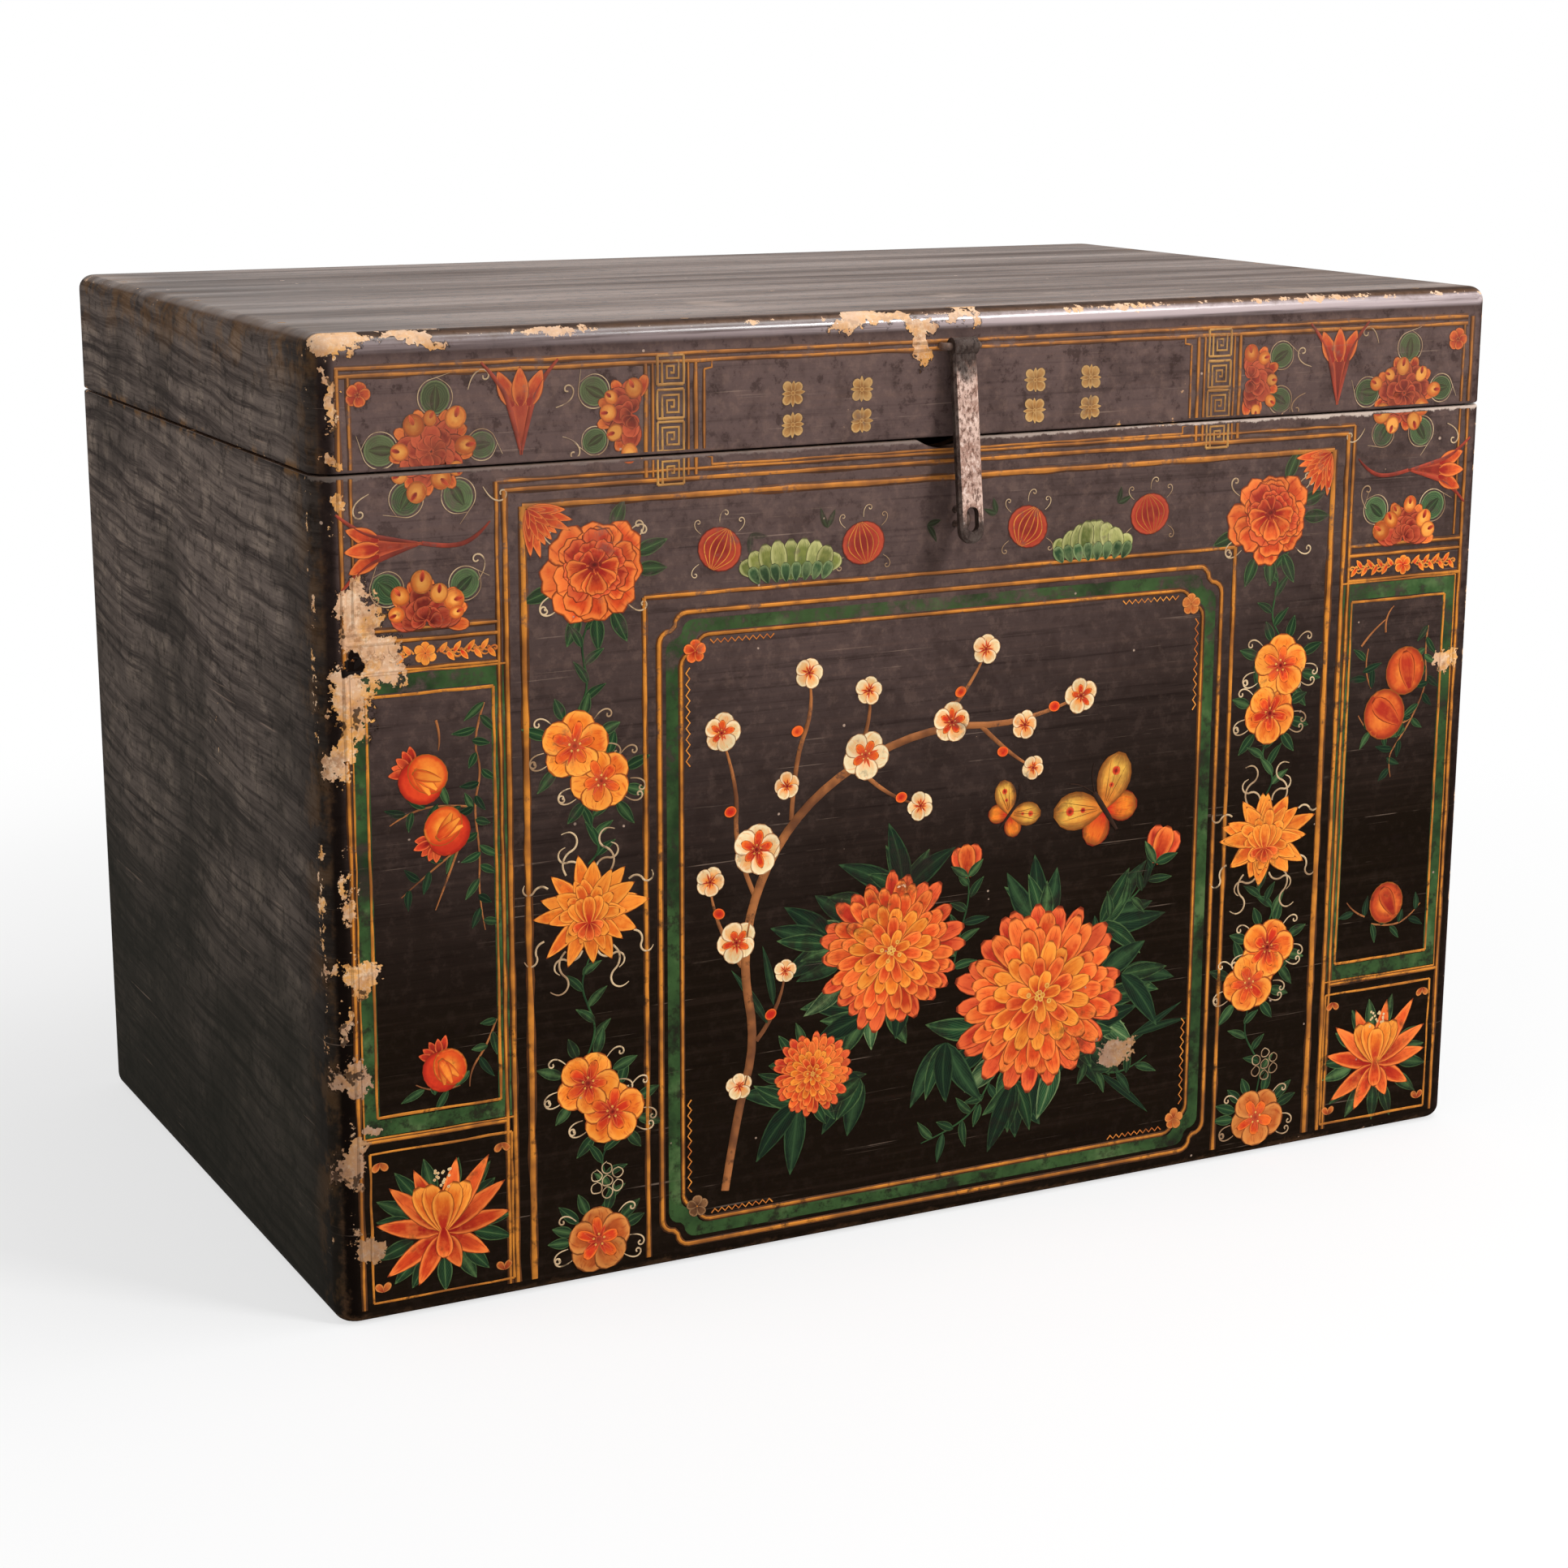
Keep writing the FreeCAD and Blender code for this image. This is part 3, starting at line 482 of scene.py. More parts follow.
def petal_paint():
    """Petals: dark at the heart, pale inside the rim, with a dark outline, fine ribs and uneven washes."""
    m = new_finish("petal_paint")
    s = lacquer(m)
    u, v, margin, body, heart, rim = brush_mark(m)
    ribs = m.noise(m.combine(u * 15, v * 1.7, s["coarse"] * 9), 1.0, 3.0)
    uneven = (ribs - 0.5) * 0.7
    outline = m.mix(0.7, heart, (0.012, 0.004, 0.002, 1.0))
    colour = m.layers(
        body, ((v + uneven).fall(0.10, 0.72), heart),
        (s["tear"].fall(0.38, 0.52) * 0.45, heart),
        ((margin + uneven * 0.2).fall(0.06, 0.28) * 0.8, rim),
        (s["tear"].rise(0.50, 0.64) * 0.4, rim),
        (ribs.rise(0.54, 0.68) * 0.5, heart),
        (s["fine"].rise(0.52, 0.68) * 0.2, rim),
        ((margin + (s["fine"] - 0.5) * 0.05).fall(0.02, 0.07) * 0.85, outline))
    thin = (s["fine"] * 0.5 + s["coarse"] * 0.5).rise(0.55, 0.66) * 0.6
    return over_lacquer(m, colour, s, thin, 0.5)


def leaf_paint():
    """Leaves: a dark blade, a pale outline and a pale midrib with side veins."""
    m = new_finish("leaf_paint")
    s = lacquer(m)
    u, v, margin, body, heart, rim = brush_mark(m)
    off_rib = abs(u - 0.5)
    vein = (v * 7 - off_rib * 9).math("FRACT")
    colour = m.layers(
        body, ((off_rib + (s["fine"] - 0.5) * 0.5).rise(0.05, 0.42), heart),
        (vein.rise(0.72, 0.95) * 0.35, rim),
        (off_rib.fall(0.02, 0.07) * 0.6, rim),
        ((margin + (s["fine"] - 0.5) * 0.12).fall(0.03, 0.10) * 0.7, rim))
    thin = (s["fine"] * 0.4 + s["coarse"] * 0.6).rise(0.47, 0.64) * 0.7
    return over_lacquer(m, colour, s, thin, 0.52)


def line_paint(name, colour, dark, metallic=0.0):
    """A brushed line: uneven in tone along its length, thin where the brush ran dry."""
    m = new_finish(name)
    s = lacquer(m)
    tone = m.noise(m.coords("Object"), 30.0, 3.0, 0.65)
    paint = m.layers(dark, (tone.rise(0.34, 0.62), colour), (s["fine"].rise(0.52, 0.68) * 0.55, dark))
    thin = (s["fine"] * 0.6 + tone * 0.4).rise(0.53, 0.66) * 0.8
    return over_lacquer(m, paint, s, thin, 0.46, metallic)


def band_paint():
    """The green bands, brushed lengthwise with lighter touches."""
    m = new_finish("green_band_paint")
    s = lacquer(m)
    tone = m.noise(m.coords("Object"), 24.0, 4.0, 0.65)
    paint = m.layers(
        rgb(30, 46, 24), (tone.rise(0.3, 0.62), rgb(56, 84, 44)),
        (s["fine"].rise(0.5, 0.66) * 0.6, rgb(26, 34, 20)),
        (tone.rise(0.56, 0.68) * 0.5, rgb(98, 118, 74)))
    thin = (s["fine"] * 0.5 + s["coarse"] * 0.5).rise(0.47, 0.62) * 0.8
    return over_lacquer(m, paint, s, thin, 0.5)


# Brush marks, modelled once each: base at the origin, tip at z = 1, flat in the front's plane

NEAR = 1e-4
UPRIGHT = (RIGHT_ANGLE, 0.0, 0.0)
SHADE_NAMES = ("body", "heart", "rim")
MARKS = {}


def deselect():
    bpy.ops.object.select_all(action="DESELECT")


def activate(piece):
    deselect()
    piece.select_set(True)
    bpy.context.view_layer.objects.active = piece


def link(name, data):
    """A new object in the scene."""
    piece = bpy.data.objects.new(name, data)
    bpy.context.collection.objects.link(piece)
    return piece


def select_level(piece, level, x=None):
    """Selects the vertices of one row in edit mode, or the one at x in that row."""
    mesh = bmesh.from_edit_mesh(piece.data)
    for vertex in mesh.verts:
        at_x = x is None or abs(vertex.co.x - x) < NEAR
        vertex.select_set(at_x and abs(vertex.co.z - level) < NEAR)
    mesh.select_flush_mode()
    bmesh.update_edit_mesh(piece.data)


def keep_mark(name, mark):
    MARKS[name] = mark.data
    mark.data.name = name
    mark.data.uv_layers.active.name = "brush"
    bpy.data.objects.remove(mark)


def row_mark(name, columns, rows, width_at, lean=0.0, notch=0.0):
    """A grid whose rows are drawn in to width_at(v), bent sideways by lean; notch gives a two-lobed tip."""
    deselect()
    bpy.ops.mesh.primitive_grid_add(x_subdivisions=columns, y_subdivisions=rows, size=1.0,
                                    location=(0.0, 0.0, 0.5), rotation=UPRIGHT)
    mark = bpy.context.active_object
    bpy.ops.object.transform_apply(location=True, rotation=True, scale=True)
    levels = sorted({round(vertex.co.z, 5) for vertex in mark.data.vertices})
    aside = sorted({round(vertex.co.x, 5) for vertex in mark.data.vertices})
    bpy.ops.object.mode_set(mode="EDIT")
    bpy.context.tool_settings.mesh_select_mode = (True, False, False)
    for level in levels:
        select_level(mark, level)
        bpy.ops.transform.resize(value=(width_at(level), 1.0, 1.0), center_override=(0.0, 0.0, level))
        if lean:
            bpy.ops.transform.translate(value=(lean * level * level, 0.0, 0.0))
    if notch:
        for level, share in zip(reversed(levels), (1.0, 0.66, 0.33)):
            for x in aside:
                select_level(mark, level, x * width_at(level))
                drop = notch * (math.cos((abs(x) - 0.25) * TURN * 2) - 1) - 0.8 * x * x
                bpy.ops.transform.translate(value=(0.0, 0.0, drop * share))
    bpy.ops.object.mode_set(mode="OBJECT")
    keep_mark(name, mark)


def disc_mark(name, corners):
    """A round spot whose map runs from the middle to the rim."""
    deselect()
    bpy.ops.mesh.primitive_circle_add(vertices=corners, radius=0.5, fill_type="TRIFAN", rotation=UPRIGHT)
    mark = bpy.context.active_object
    bpy.ops.object.transform_apply(location=True, rotation=True, scale=True)
    mesh = mark.data
    layer = mesh.uv_layers.active
    for loop in mesh.loops:
        radius = mesh.vertices[loop.vertex_index].co.length * 2
        layer.uv[loop.index].vector = (0.34, radius)
    keep_mark(name, mark)


def fanned(v):
    """Row widths of a petal that opens like a fan and keeps its width to the tip."""
    return 0.30 + 0.64 * math.sin(RIGHT_ANGLE * min(1.0, v / 0.75))


def round_tip(base, widest):
    """Row widths of a petal that swells from base to its widest row and ends round."""
    def width_at(v):
        if v < widest:
            return base + (1 - base) * math.sin(RIGHT_ANGLE * v / widest)
        return max(0.22, math.sqrt(max(0.0, 1 - ((v - widest) / (1 - widest)) ** 2)))
    return width_at


def pointed(base, belly):
    """Row widths of a petal or leaf that ends in a point."""
    return lambda v: max(0.02, base * (1 - v) + math.sin(math.pi * v ** belly) ** 0.85)


row_mark("petal", 4, 7, round_tip(0.28, 0.62))
row_mark("lobe", 4, 7, round_tip(0.16, 0.56))
row_mark("point", 4, 7, pointed(0.35, 0.85))
for leaf_kind, leaf_lean in (("leaf", 0.0), ("leaf_right", 0.7), ("leaf_left", -0.7)):
    row_mark(leaf_kind, 4, 8, pointed(0.08, 0.8), leaf_lean)
row_mark("horn", 4, 7, lambda v: 0.10 + 0.9 * v ** 1.6)
row_mark("frill", 8, 5, fanned, 0.0, 0.05)
disc_mark("disc", 18)
disc_mark("dot", 8)


def spot(x, z, lift):
    """A point on the front, in metres, for a place in millimetres and a height over the wood."""
    return Vector((x * MM, FRONT - lift * MM, z * MM))


# Marks that overlap never share a height: each is lifted by its own share of this many millimetres
STAGGER, GOLDEN_SHARE = 0.02, 0.618

# Each mark fills this much of its cell of the bake map, with a margin round it
CELL_FILL, CELL_MARGIN = 0.84, 0.08


class Paint:
    """Copies of brush marks that are joined into one piece of painting."""

    def __init__(self, name):
        self.name, self.meshes = name, []

    def mark(self, kind, x, z, length, width, turn, lift, shades):
        """One mark at (x, z), its tip turned clockwise from upright by turn, in radians."""
        mesh = MARKS[kind].copy()
        lift += STAGGER * (len(self.meshes) * GOLDEN_SHARE % 1)
        size = Matrix.Diagonal((width * MM, 1.0, length * MM, 1.0))
        mesh.transform(Matrix.Translation(spot(x, z, lift)) @ Matrix.Rotation(turn, 4, "Y") @ size)
        for label, colour in zip(SHADE_NAMES, shades):
            layer = mesh.attributes.new(label, "FLOAT_COLOR", "POINT")
            layer.data.foreach_set("color", list(colour) * len(mesh.vertices))
        self.meshes.append(mesh)

    def done(self):
        """The marks as one object, each with its own cell of the bake map."""
        cells = math.ceil(math.sqrt(len(self.meshes)))
        deselect()
        for number, mesh in enumerate(self.meshes):
            brush = mesh.uv_layers["brush"].uv
            baked = mesh.uv_layers.new(name="OFBake")
            column, row = number % cells + CELL_MARGIN, number // cells + CELL_MARGIN
            for index, corner in enumerate(brush):
                u, v = corner.vector
                baked.uv[index].vector = ((column + CELL_FILL * u) / cells, (row + CELL_FILL * v) / cells)
            copy = link(self.name, mesh)
            copy.select_set(True)
            bpy.context.view_layer.objects.active = copy
        bpy.ops.object.join()
        piece = bpy.context.active_object
        piece.name = piece.data.name = self.name
        piece.data.uv_layers.active = piece.data.uv_layers["brush"]
        piece.data.uv_layers["brush"].active_render = True
        return piece


class Strokes:
    """Brush lines in one paint: curves that are made a mesh and pressed flat on the front."""

    def __init__(self, name, lift, flatness=0.05):
        self.name, self.lift, self.flatness = name, lift, flatness
        self.curve = bpy.data.curves.new(name, "CURVE")
        self.curve.dimensions = "3D"
        self.curve.bevel_depth = MM / 2
        self.curve.bevel_resolution = 1
        self.curve.resolution_u = 4
        self.curve.use_fill_caps = True

    def draw(self, points, widths, smooth=False, closed=False):
        """One line through points, with a width in millimetres for each of them."""
        spline = self.curve.splines.new("NURBS" if smooth else "POLY")
        spline.points.add(len(points) - 1)
        for point, (x, z), width in zip(spline.points, points, widths):
            point.co = (*spot(x, z, self.lift), 1.0)
            point.radius = width
        spline.use_cyclic_u = closed
        if smooth:
            spline.order_u = 3
            spline.use_endpoint_u = not closed

    def line(self, start, end, width):
        """A ruled line by hand: a little uneven in place and width."""
        length = math.dist(start, end)
        count = max(2, round(length / 16))
        normal = ((start[1] - end[1]) / length, (end[0] - start[0]) / length)
        points, widths = [], []
        for number in range(count + 1):
            share = number / count
            drift = rng.uniform(-0.3, 0.3) if 0 < number < count else 0.0
            points.append(tuple(a + (b - a) * share + n * drift for a, b, n in zip(start, end, normal)))
            widths.append(width * rng.uniform(0.75, 1.2))
        self.draw(points, widths)

    def frame(self, left, right, low, high, width):
        corners = ((left, low), (left, high), (right, high), (right, low))
        for start, end in zip(corners, (*corners[1:], corners[0])):
            self.line(start, end, width)

    def sweep(self, points, width, ends=(0.35, 0.35)):
        """A smooth stroke that swells in the middle and thins to its two ends."""
        last = len(points) - 1
        widths = []
        for number in range(last + 1):
            share = number / last
            end = ends[0] if share < 0.5 else ends[1]
            widths.append(width * (end + (1 - end) * math.sin(math.pi * share) ** 0.7))
        self.draw(points, widths, True)

    def done(self):
        activate(link(self.name, self.curve))
        bpy.ops.object.convert(target="MESH")
        bpy.ops.object.mode_set(mode="EDIT")
        bpy.ops.mesh.select_all(action="SELECT")
        bpy.ops.transform.resize(value=(1.0, self.flatness, 1.0), center_override=spot(0, 0, self.lift))
        bpy.ops.object.mode_set(mode="OBJECT")
        bpy.ops.object.shade_smooth()
        return bpy.context.active_object


def settle(piece, body, material):
    """Gives a finished piece of painting its paint and the body that it rides on."""
    piece.data.materials.clear()
    piece.data.materials.append(material)
    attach(piece, body)


def settle_all(body, paints, **paintings):
    """Finishes sets of marks and strokes on one body, each in the paint that its keyword names."""
    for kind, painting in paintings.items():
        settle(painting.done(), body, paints[kind])


def halves(piece, material):
    """Cuts a piece of painting at the seam: the lid keeps the upper part, the chest the lower."""
    activate(piece)
    bpy.ops.object.duplicate()
    upper = bpy.context.active_object
    upper.name = upper.data.name = piece.name + "_on_lid"
    for part, level, above in ((upper, LID_RIM + RIM_ROUND, True), (piece, RIM - RIM_ROUND, False)):
        activate(part)
        bpy.ops.object.mode_set(mode="EDIT")
        bpy.ops.mesh.select_all(action="SELECT")
        bpy.ops.mesh.bisect(plane_co=(0.0, 0.0, level), plane_no=(0.0, 0.0, 1.0), clear_inner=above,
                            clear_outer=not above)
        bpy.ops.object.mode_set(mode="OBJECT")
    settle(upper, "lid", material)
    settle(piece, "chest", material)


# Shades: body, heart and rim of each kind of mark

ORANGE = (rgb(224, 80, 32), rgb(154, 26, 19), rgb(247, 134, 60))
FLAME = (rgb(200, 56, 32), rgb(124, 20, 18), rgb(236, 108, 56))
BLUSH = (rgb(218, 64, 30), rgb(180, 32, 22), rgb(240, 122, 44))
RED = (rgb(166, 46, 30), rgb(104, 20, 16), rgb(204, 90, 54))
CORE = (rgb(128, 30, 22), rgb(84, 14, 12), rgb(178, 58, 36))
MELON = (rgb(168, 48, 34), rgb(132, 30, 26), rgb(190, 76, 48))
AMBER = (rgb(240, 134, 40), rgb(200, 46, 26), rgb(250, 164, 68))
DIM_AMBER = (rgb(196, 100, 40), rgb(140, 48, 26), rgb(216, 140, 70))
GOLDEN = (rgb(234, 124, 36), rgb(180, 42, 24), rgb(246, 158, 62))
GILT = (rgb(204, 150, 82), rgb(150, 98, 44), rgb(226, 184, 118))
BALL = (rgb(226, 126, 44), rgb(244, 164, 74), rgb(178, 68, 28))
RED_FRUIT = (rgb(214, 58, 30), rgb(226, 76, 34), rgb(160, 30, 22))
GOLD_FRUIT = (rgb(226, 88, 32), rgb(246, 150, 54), rgb(196, 50, 26))
PEACH = (rgb(198, 76, 34), rgb(234, 132, 52), rgb(138, 40, 24))
CHEEK = (rgb(176, 50, 28), rgb(150, 36, 24), rgb(206, 92, 40))
YELLOW = (rgb(228, 170, 66), rgb(196, 112, 44), rgb(240, 204, 124))
CREAM = (rgb(222, 190, 134), rgb(198, 134, 76), rgb(240, 220, 178))
BLOSSOM = (CREAM[0], AMBER[0], CREAM[2])
FORE_WING = (rgb(232, 176, 74), rgb(212, 120, 44), rgb(112, 60, 28))
HIND_WING = (*AMBER[:2], FORE_WING[2])
LEAF = (rgb(31, 62, 35), rgb(17, 37, 22), rgb(84, 110, 64))
DEEP_LEAF = (rgb(22, 44, 27), rgb(14, 28, 18), rgb(54, 80, 47))
MOSS = (rgb(40, 80, 46), rgb(26, 56, 33), rgb(128, 146, 96))
PALE_GREEN = (rgb(132, 136, 64), rgb(76, 94, 42), rgb(190, 186, 122))
BROWN = (rgb(118, 78, 46), rgb(78, 48, 30), rgb(160, 118, 80))


def varied(shades, amount=0.12):
    """The same shades a little lighter or darker, redder or yellower, as from a fresh load of the brush."""
    lift = 1 + rng.uniform(-amount, amount)
    lean = rng.uniform(-3.0, 3.0) * amount
    shades = (mixed(shades[0], shades[2] if lean > 0 else shades[1], abs(lean)), *shades[1:])
    return [tuple(min(1.0, channel * lift) for channel in colour[:3]) + (1.0,) for colour in shades]


def around(x, z, radius, angle):
    """The place at a radius from (x, z), its angle taken clockwise from upright."""
    return x + radius * math.sin(angle), z + radius * math.cos(angle)


def beside(x, z, along, aside, turn):
    """The place reached from (x, z) by going along a heading and then to the right of it."""
    return around(*around(x, z, along, turn), aside, turn + RIGHT_ANGLE)


def heading(start, end):
    return math.atan2(end[0] - start[0], end[1] - start[1])


def ring(paint, kind, x, z, count, start, reach, width, lift, shades, phase=0.0, squeeze=1.0, loose=0.08):
    """Marks round a middle, from radius start to radius reach, less even the looser they are."""
    for number in range(count):
        angle = TURN * (number + phase) / count + rng.uniform(-loose, loose)
        px, pz = start * math.sin(angle), start * math.cos(angle) * squeeze
        long = (reach - start) * rng.uniform(1 - loose, 1 + loose)
        long *= math.hypot(math.sin(angle), math.cos(angle) * squeeze)
        wide = width * rng.uniform(1 - loose, 1 + loose)
        paint.mark(kind, x + px, z + pz, long, wide, angle, lift, varied(shades))


# Motifs of the painting


def peony(paint, x, z, size):
    """A full flower: loose rings of lobed petals, and a red cup that the nearest petals close in front."""
    half = size / 2
    paint.mark("disc", x, z, half * 1.5, half * 1.5, 0.0, 0.21, FLAME)
    rings = ((8, 0.30, 1.05, 0.84, 0.22, ORANGE, 0.0), (9, 0.26, 0.90, 0.64, 0.25, ORANGE, 0.5),
             (7, 0.16, 0.74, 0.58, 0.28, FLAME, 0.2), (7, 0.10, 0.58, 0.44, 0.31, FLAME, 0.7))
    for count, start, reach, width, lift, shades, phase in rings:
        rise = half * (0.16 - 0.16 * reach)
        ring(paint, "frill", x, z + rise, count, half * start, half * reach, half * width, lift, shades,
             phase, 1.0, 0.22)
    cup = z + half * 0.12
    paint.mark("disc", x, cup, half * 0.60, half * 0.70, 0.0, 0.34, RED)
    ring(paint, "frill", x, cup, 5, half * 0.04, half * 0.36, half * 0.34, 0.35, FLAME, 0.1, 1.0, 0.2)
    paint.mark("disc", x, cup, half * 0.16, half * 0.22, 0.0, 0.38, CORE)
    for number, angle in enumerate((-1.75, 1.8, -2.35, 2.4, -2.95, 3.05)):
        paint.mark("frill", *around(x, cup, half * rng.uniform(0.12, 0.2), angle),
                   half * rng.uniform(0.38, 0.52), half * rng.uniform(0.42, 0.54), angle,
                   0.39 + 0.008 * number, varied(ORANGE))


def bud(paint, leaves, x, z, size, turn):
    """A closed flower: three petals held together, with two leaves at the foot."""
    for number, lean in enumerate((-0.35, 0.35, 0.0)):
        paint.mark("petal", x, z, size, size * 0.62, turn + lean, 0.26 + 0.012 * number,
                   varied(FLAME if lean else ORANGE))
    for lean in (-0.9, 0.9):
        leaf(leaves, x, z, size * 0.7, size * 0.26, turn + lean, lift=0.3)


def plum(paint, x, z, size, turn, shades):
    """A flower of five round petals; only a large one has an inner ring."""
    half = size / 2
    for number in range(5):
        angle = turn + TURN * number / 5 + rng.uniform(-0.08, 0.08)
        paint.mark("lobe", *around(x, z, half * 0.04, angle), half * rng.uniform(0.88, 1.02),
                   half * rng.uniform(0.98, 1.12), angle, 0.24 + 0.012 * (number * 2 % 5), varied(shades))
    if size > 20:
        ring(paint, "petal", x, z, 5, 0.0, half * 0.66, half * 0.34, 0.305, BLUSH, turn * 5 / TURN,
             1.0, 0.14)
    for number in range(10):
        angle = turn + TURN * (number + rng.uniform(0.2, 0.8)) / 10
        paint.mark("point", x, z, half * rng.uniform(0.34, 0.62), half * 0.10, angle, 0.32, FLAME)
    paint.mark("disc", x, z, half * 0.24, half * 0.24, 0.0, 0.34, RED)
    for number in range(5):
        place = around(x, z, half * 0.17, TURN * number / 5)
        paint.mark("dot", *place, half * 0.07, half * 0.07, 0.0, 0.36, YELLOW)


def cup_petals(paint, x, z, half, angles, away, reach, width, lift, shades):
    """Petals that open from one foot, each lying over the one before it."""
    for number, angle in enumerate(angles):
        place = around(x, z, half * away, angle)
        paint.mark("petal", *place, half * rng.uniform(*reach), half * width, angle, lift + 0.008 * number,
                   varied(shades))


def chrysanthemum(paint, x, z, width, height):
    """A flower of broad pointed petals that spread wide round a closed cup."""
    half = width / 2
    squeeze = height / width
    ring(paint, "point", x, z, 13, half * 0.16, half * 1.10, half * 0.30, 0.24, GOLDEN, 0.5, squeeze, 0.2)
    ring(paint, "point", x, z, 11, half * 0.10, half * 0.86, half * 0.28, 0.27, GOLDEN, 0.0, squeeze, 0.2)
    paint.mark("disc", x, z, half * 0.62, half * 0.78, 0.0, 0.30, FLAME)
    ring(paint, "petal", x, z - half * 0.04, 9, half * 0.06, half * 0.54, half * 0.24, 0.32, GOLDEN,
         0.5, 1.0, 0.16)
    cup_petals(paint, x, z - half * 0.26, half, (-0.75, 0.75, -0.38, 0.38, 0.0), 0.04, (0.46, 0.56), 0.27,
               0.36, GOLDEN)
    cup_petals(paint, x, z - half * 0.20, half, (1.9, -1.9, 2.5, -2.5, 3.1), 0.03, (0.24, 0.32), 0.19,
               0.41, ORANGE)


def full_chrysanthemum(paint, x, z, size):
    """A round flower of many narrow petals, ring on ring, that close over a golden heart."""
    half = size / 2
    paint.mark("disc", x, z, half * 1.3, half * 1.3, 0.0, 0.20, FLAME)
    rows = ((23, 0.42, 1.06, 0.24, FLAME), (21, 0.36, 0.93, 0.23, ORANGE), (19, 0.28, 0.78, 0.22, ORANGE),
            (15, 0.18, 0.62, 0.20, GOLDEN), (11, 0.08, 0.46, 0.18, ORANGE), (7, 0.0, 0.29, 0.15, GOLDEN))
    for number, (count, start, reach, width, shades) in enumerate(rows):
        ring(paint, "petal", x, z, count, half * start, half * reach, half * width, 0.22 + 0.03 * number,
             shades, 0.5 * (number % 2), 1.0, 0.1)
    for number in range(9):
        place = around(x, z, half * 0.10 * (number % 2 + 0.4), TURN * number / 9)
        paint.mark("dot", *place, half * 0.06, half * 0.06, 0.0, 0.41, YELLOW)


def lotus(paint, leaves, x, z, width, height):
    """A lotus seen from the side: wide pointed petals, a closed cup and a crown of seeds."""
    half = width / 2
    base = z - height * 0.16
    for number in range(15):
        angle = TURN * (number + 0.5) / 15 + rng.uniform(-0.12, 0.12)
        place = around(x, base + half * 0.1, half * 0.52, angle)
        leaves.mark("leaf", *place, half * rng.uniform(0.55, 0.75), half * 0.24, angle, 0.16,
                    varied(LEAF, 0.3))
    paint.mark("disc", x, base + half * 0.12, half * 0.5, half * 0.5, 0.0, 0.22, FLAME)
    spread = ((-2.12, 1.02), (2.14, 0.82), (-1.34, 1.04), (1.47, 1.04), (-2.63, 0.84), (2.70, 0.62),
              (1.03, 1.16), (-0.80, 1.14), (0.58, 1.30), (-0.42, 1.10), (0.22, 1.12))
    for number, (angle, reach) in enumerate(spread):
        paint.mark("point", *around(x, base, half * 0.08, angle), half * reach, half * 0.27,
                   angle + rng.uniform(-0.06, 0.06), 0.24 + 0.006 * number, varied(ORANGE, 0.18))
    cup = ((-0.62, 0.86), (0.62, 0.84), (-0.34, 0.80), (0.34, 0.78), (0.0, 0.64))
    for number, (angle, reach) in enumerate(cup):
        paint.mark("petal", *around(x, base, half * 0.04, angle), half * reach, half * 0.38, angle * 0.8,
                   0.33 + 0.012 * number, varied(GOLDEN))
    paint.mark("petal", x, base + half * 0.06, half * 0.50, half * 0.30, 3.10, 0.40, varied(ORANGE))
    for _ in range(16):
        paint.mark("dot", x + half * rng.uniform(-0.15, 0.15), base + half * rng.uniform(0.72, 1.02),
                   half * 0.05, half * 0.05, 0.0, 0.44, CREAM)


def round_leaf(leaves, curls, x, z, size, turn):
    """A round leaf with a pale ring round it and a small tendril."""
    leaves.mark("disc", x, z, size, size * 0.92, turn, 0.15, varied(MOSS))
    foot = around(x, z, size * 0.42, turn + 3.14)
    leaves.mark("leaf", *foot, size * 0.8, size * 0.34, turn, 0.18, varied(LEAF))
    points = [around(x, z, size * 0.58, turn + TURN * number / 9) for number in range(10)]
    tip = around(x, z, size * 0.85, turn + TURN * 1.08)
    curls.sweep(points + [tip], 0.85)


def berry_flower(paint, leaves, curls, x, z, size, angles, leaf_angles):
    """A red cluster with orange balls at the given angles and round leaves behind them."""
    half = size / 2
    for angle in leaf_angles:
        round_leaf(leaves, curls, *around(x, z, half * 0.96, angle), half * rng.uniform(0.50, 0.62), angle)
    for angle in angles:
        place = around(x, z, half * 0.16, angle)
        paint.mark("disc", *place, half * 0.30, half * 0.30, angle, 0.21, varied(RED))
        aside = angle + rng.uniform(0.2, 0.5)
        place = around(x, z, half * 0.3, aside)
        paint.mark("lobe", *place, half * 0.5, half * 0.26, aside, 0.23, varied(ORANGE, 0.25))
        for reach, width in ((0.62, 0.46), (0.42, 0.40), (0.24, 0.30)):
            place = around(x, z, half * 0.06, angle + rng.uniform(-0.3, 0.3))
            lift = 0.32 - 0.12 * reach + 0.004 * rng.random()
            paint.mark("lobe", *place, half * reach, half * width, angle, lift, varied(RED, 0.25))
    for angle in angles:
        place = around(x, z, half * rng.uniform(0.50, 0.78), angle + rng.uniform(-0.16, 0.16))
        ball = half * rng.uniform(0.28, 0.46)
        paint.mark("disc", *place, ball, ball * rng.uniform(0.8, 1.0), angle, 0.33, varied(BALL, 0.25))
        paint.mark("point", *place, ball * 0.5, ball * 0.2, angle + rng.uniform(-0.6, 0.6), 0.35,
                   varied(FLAME))


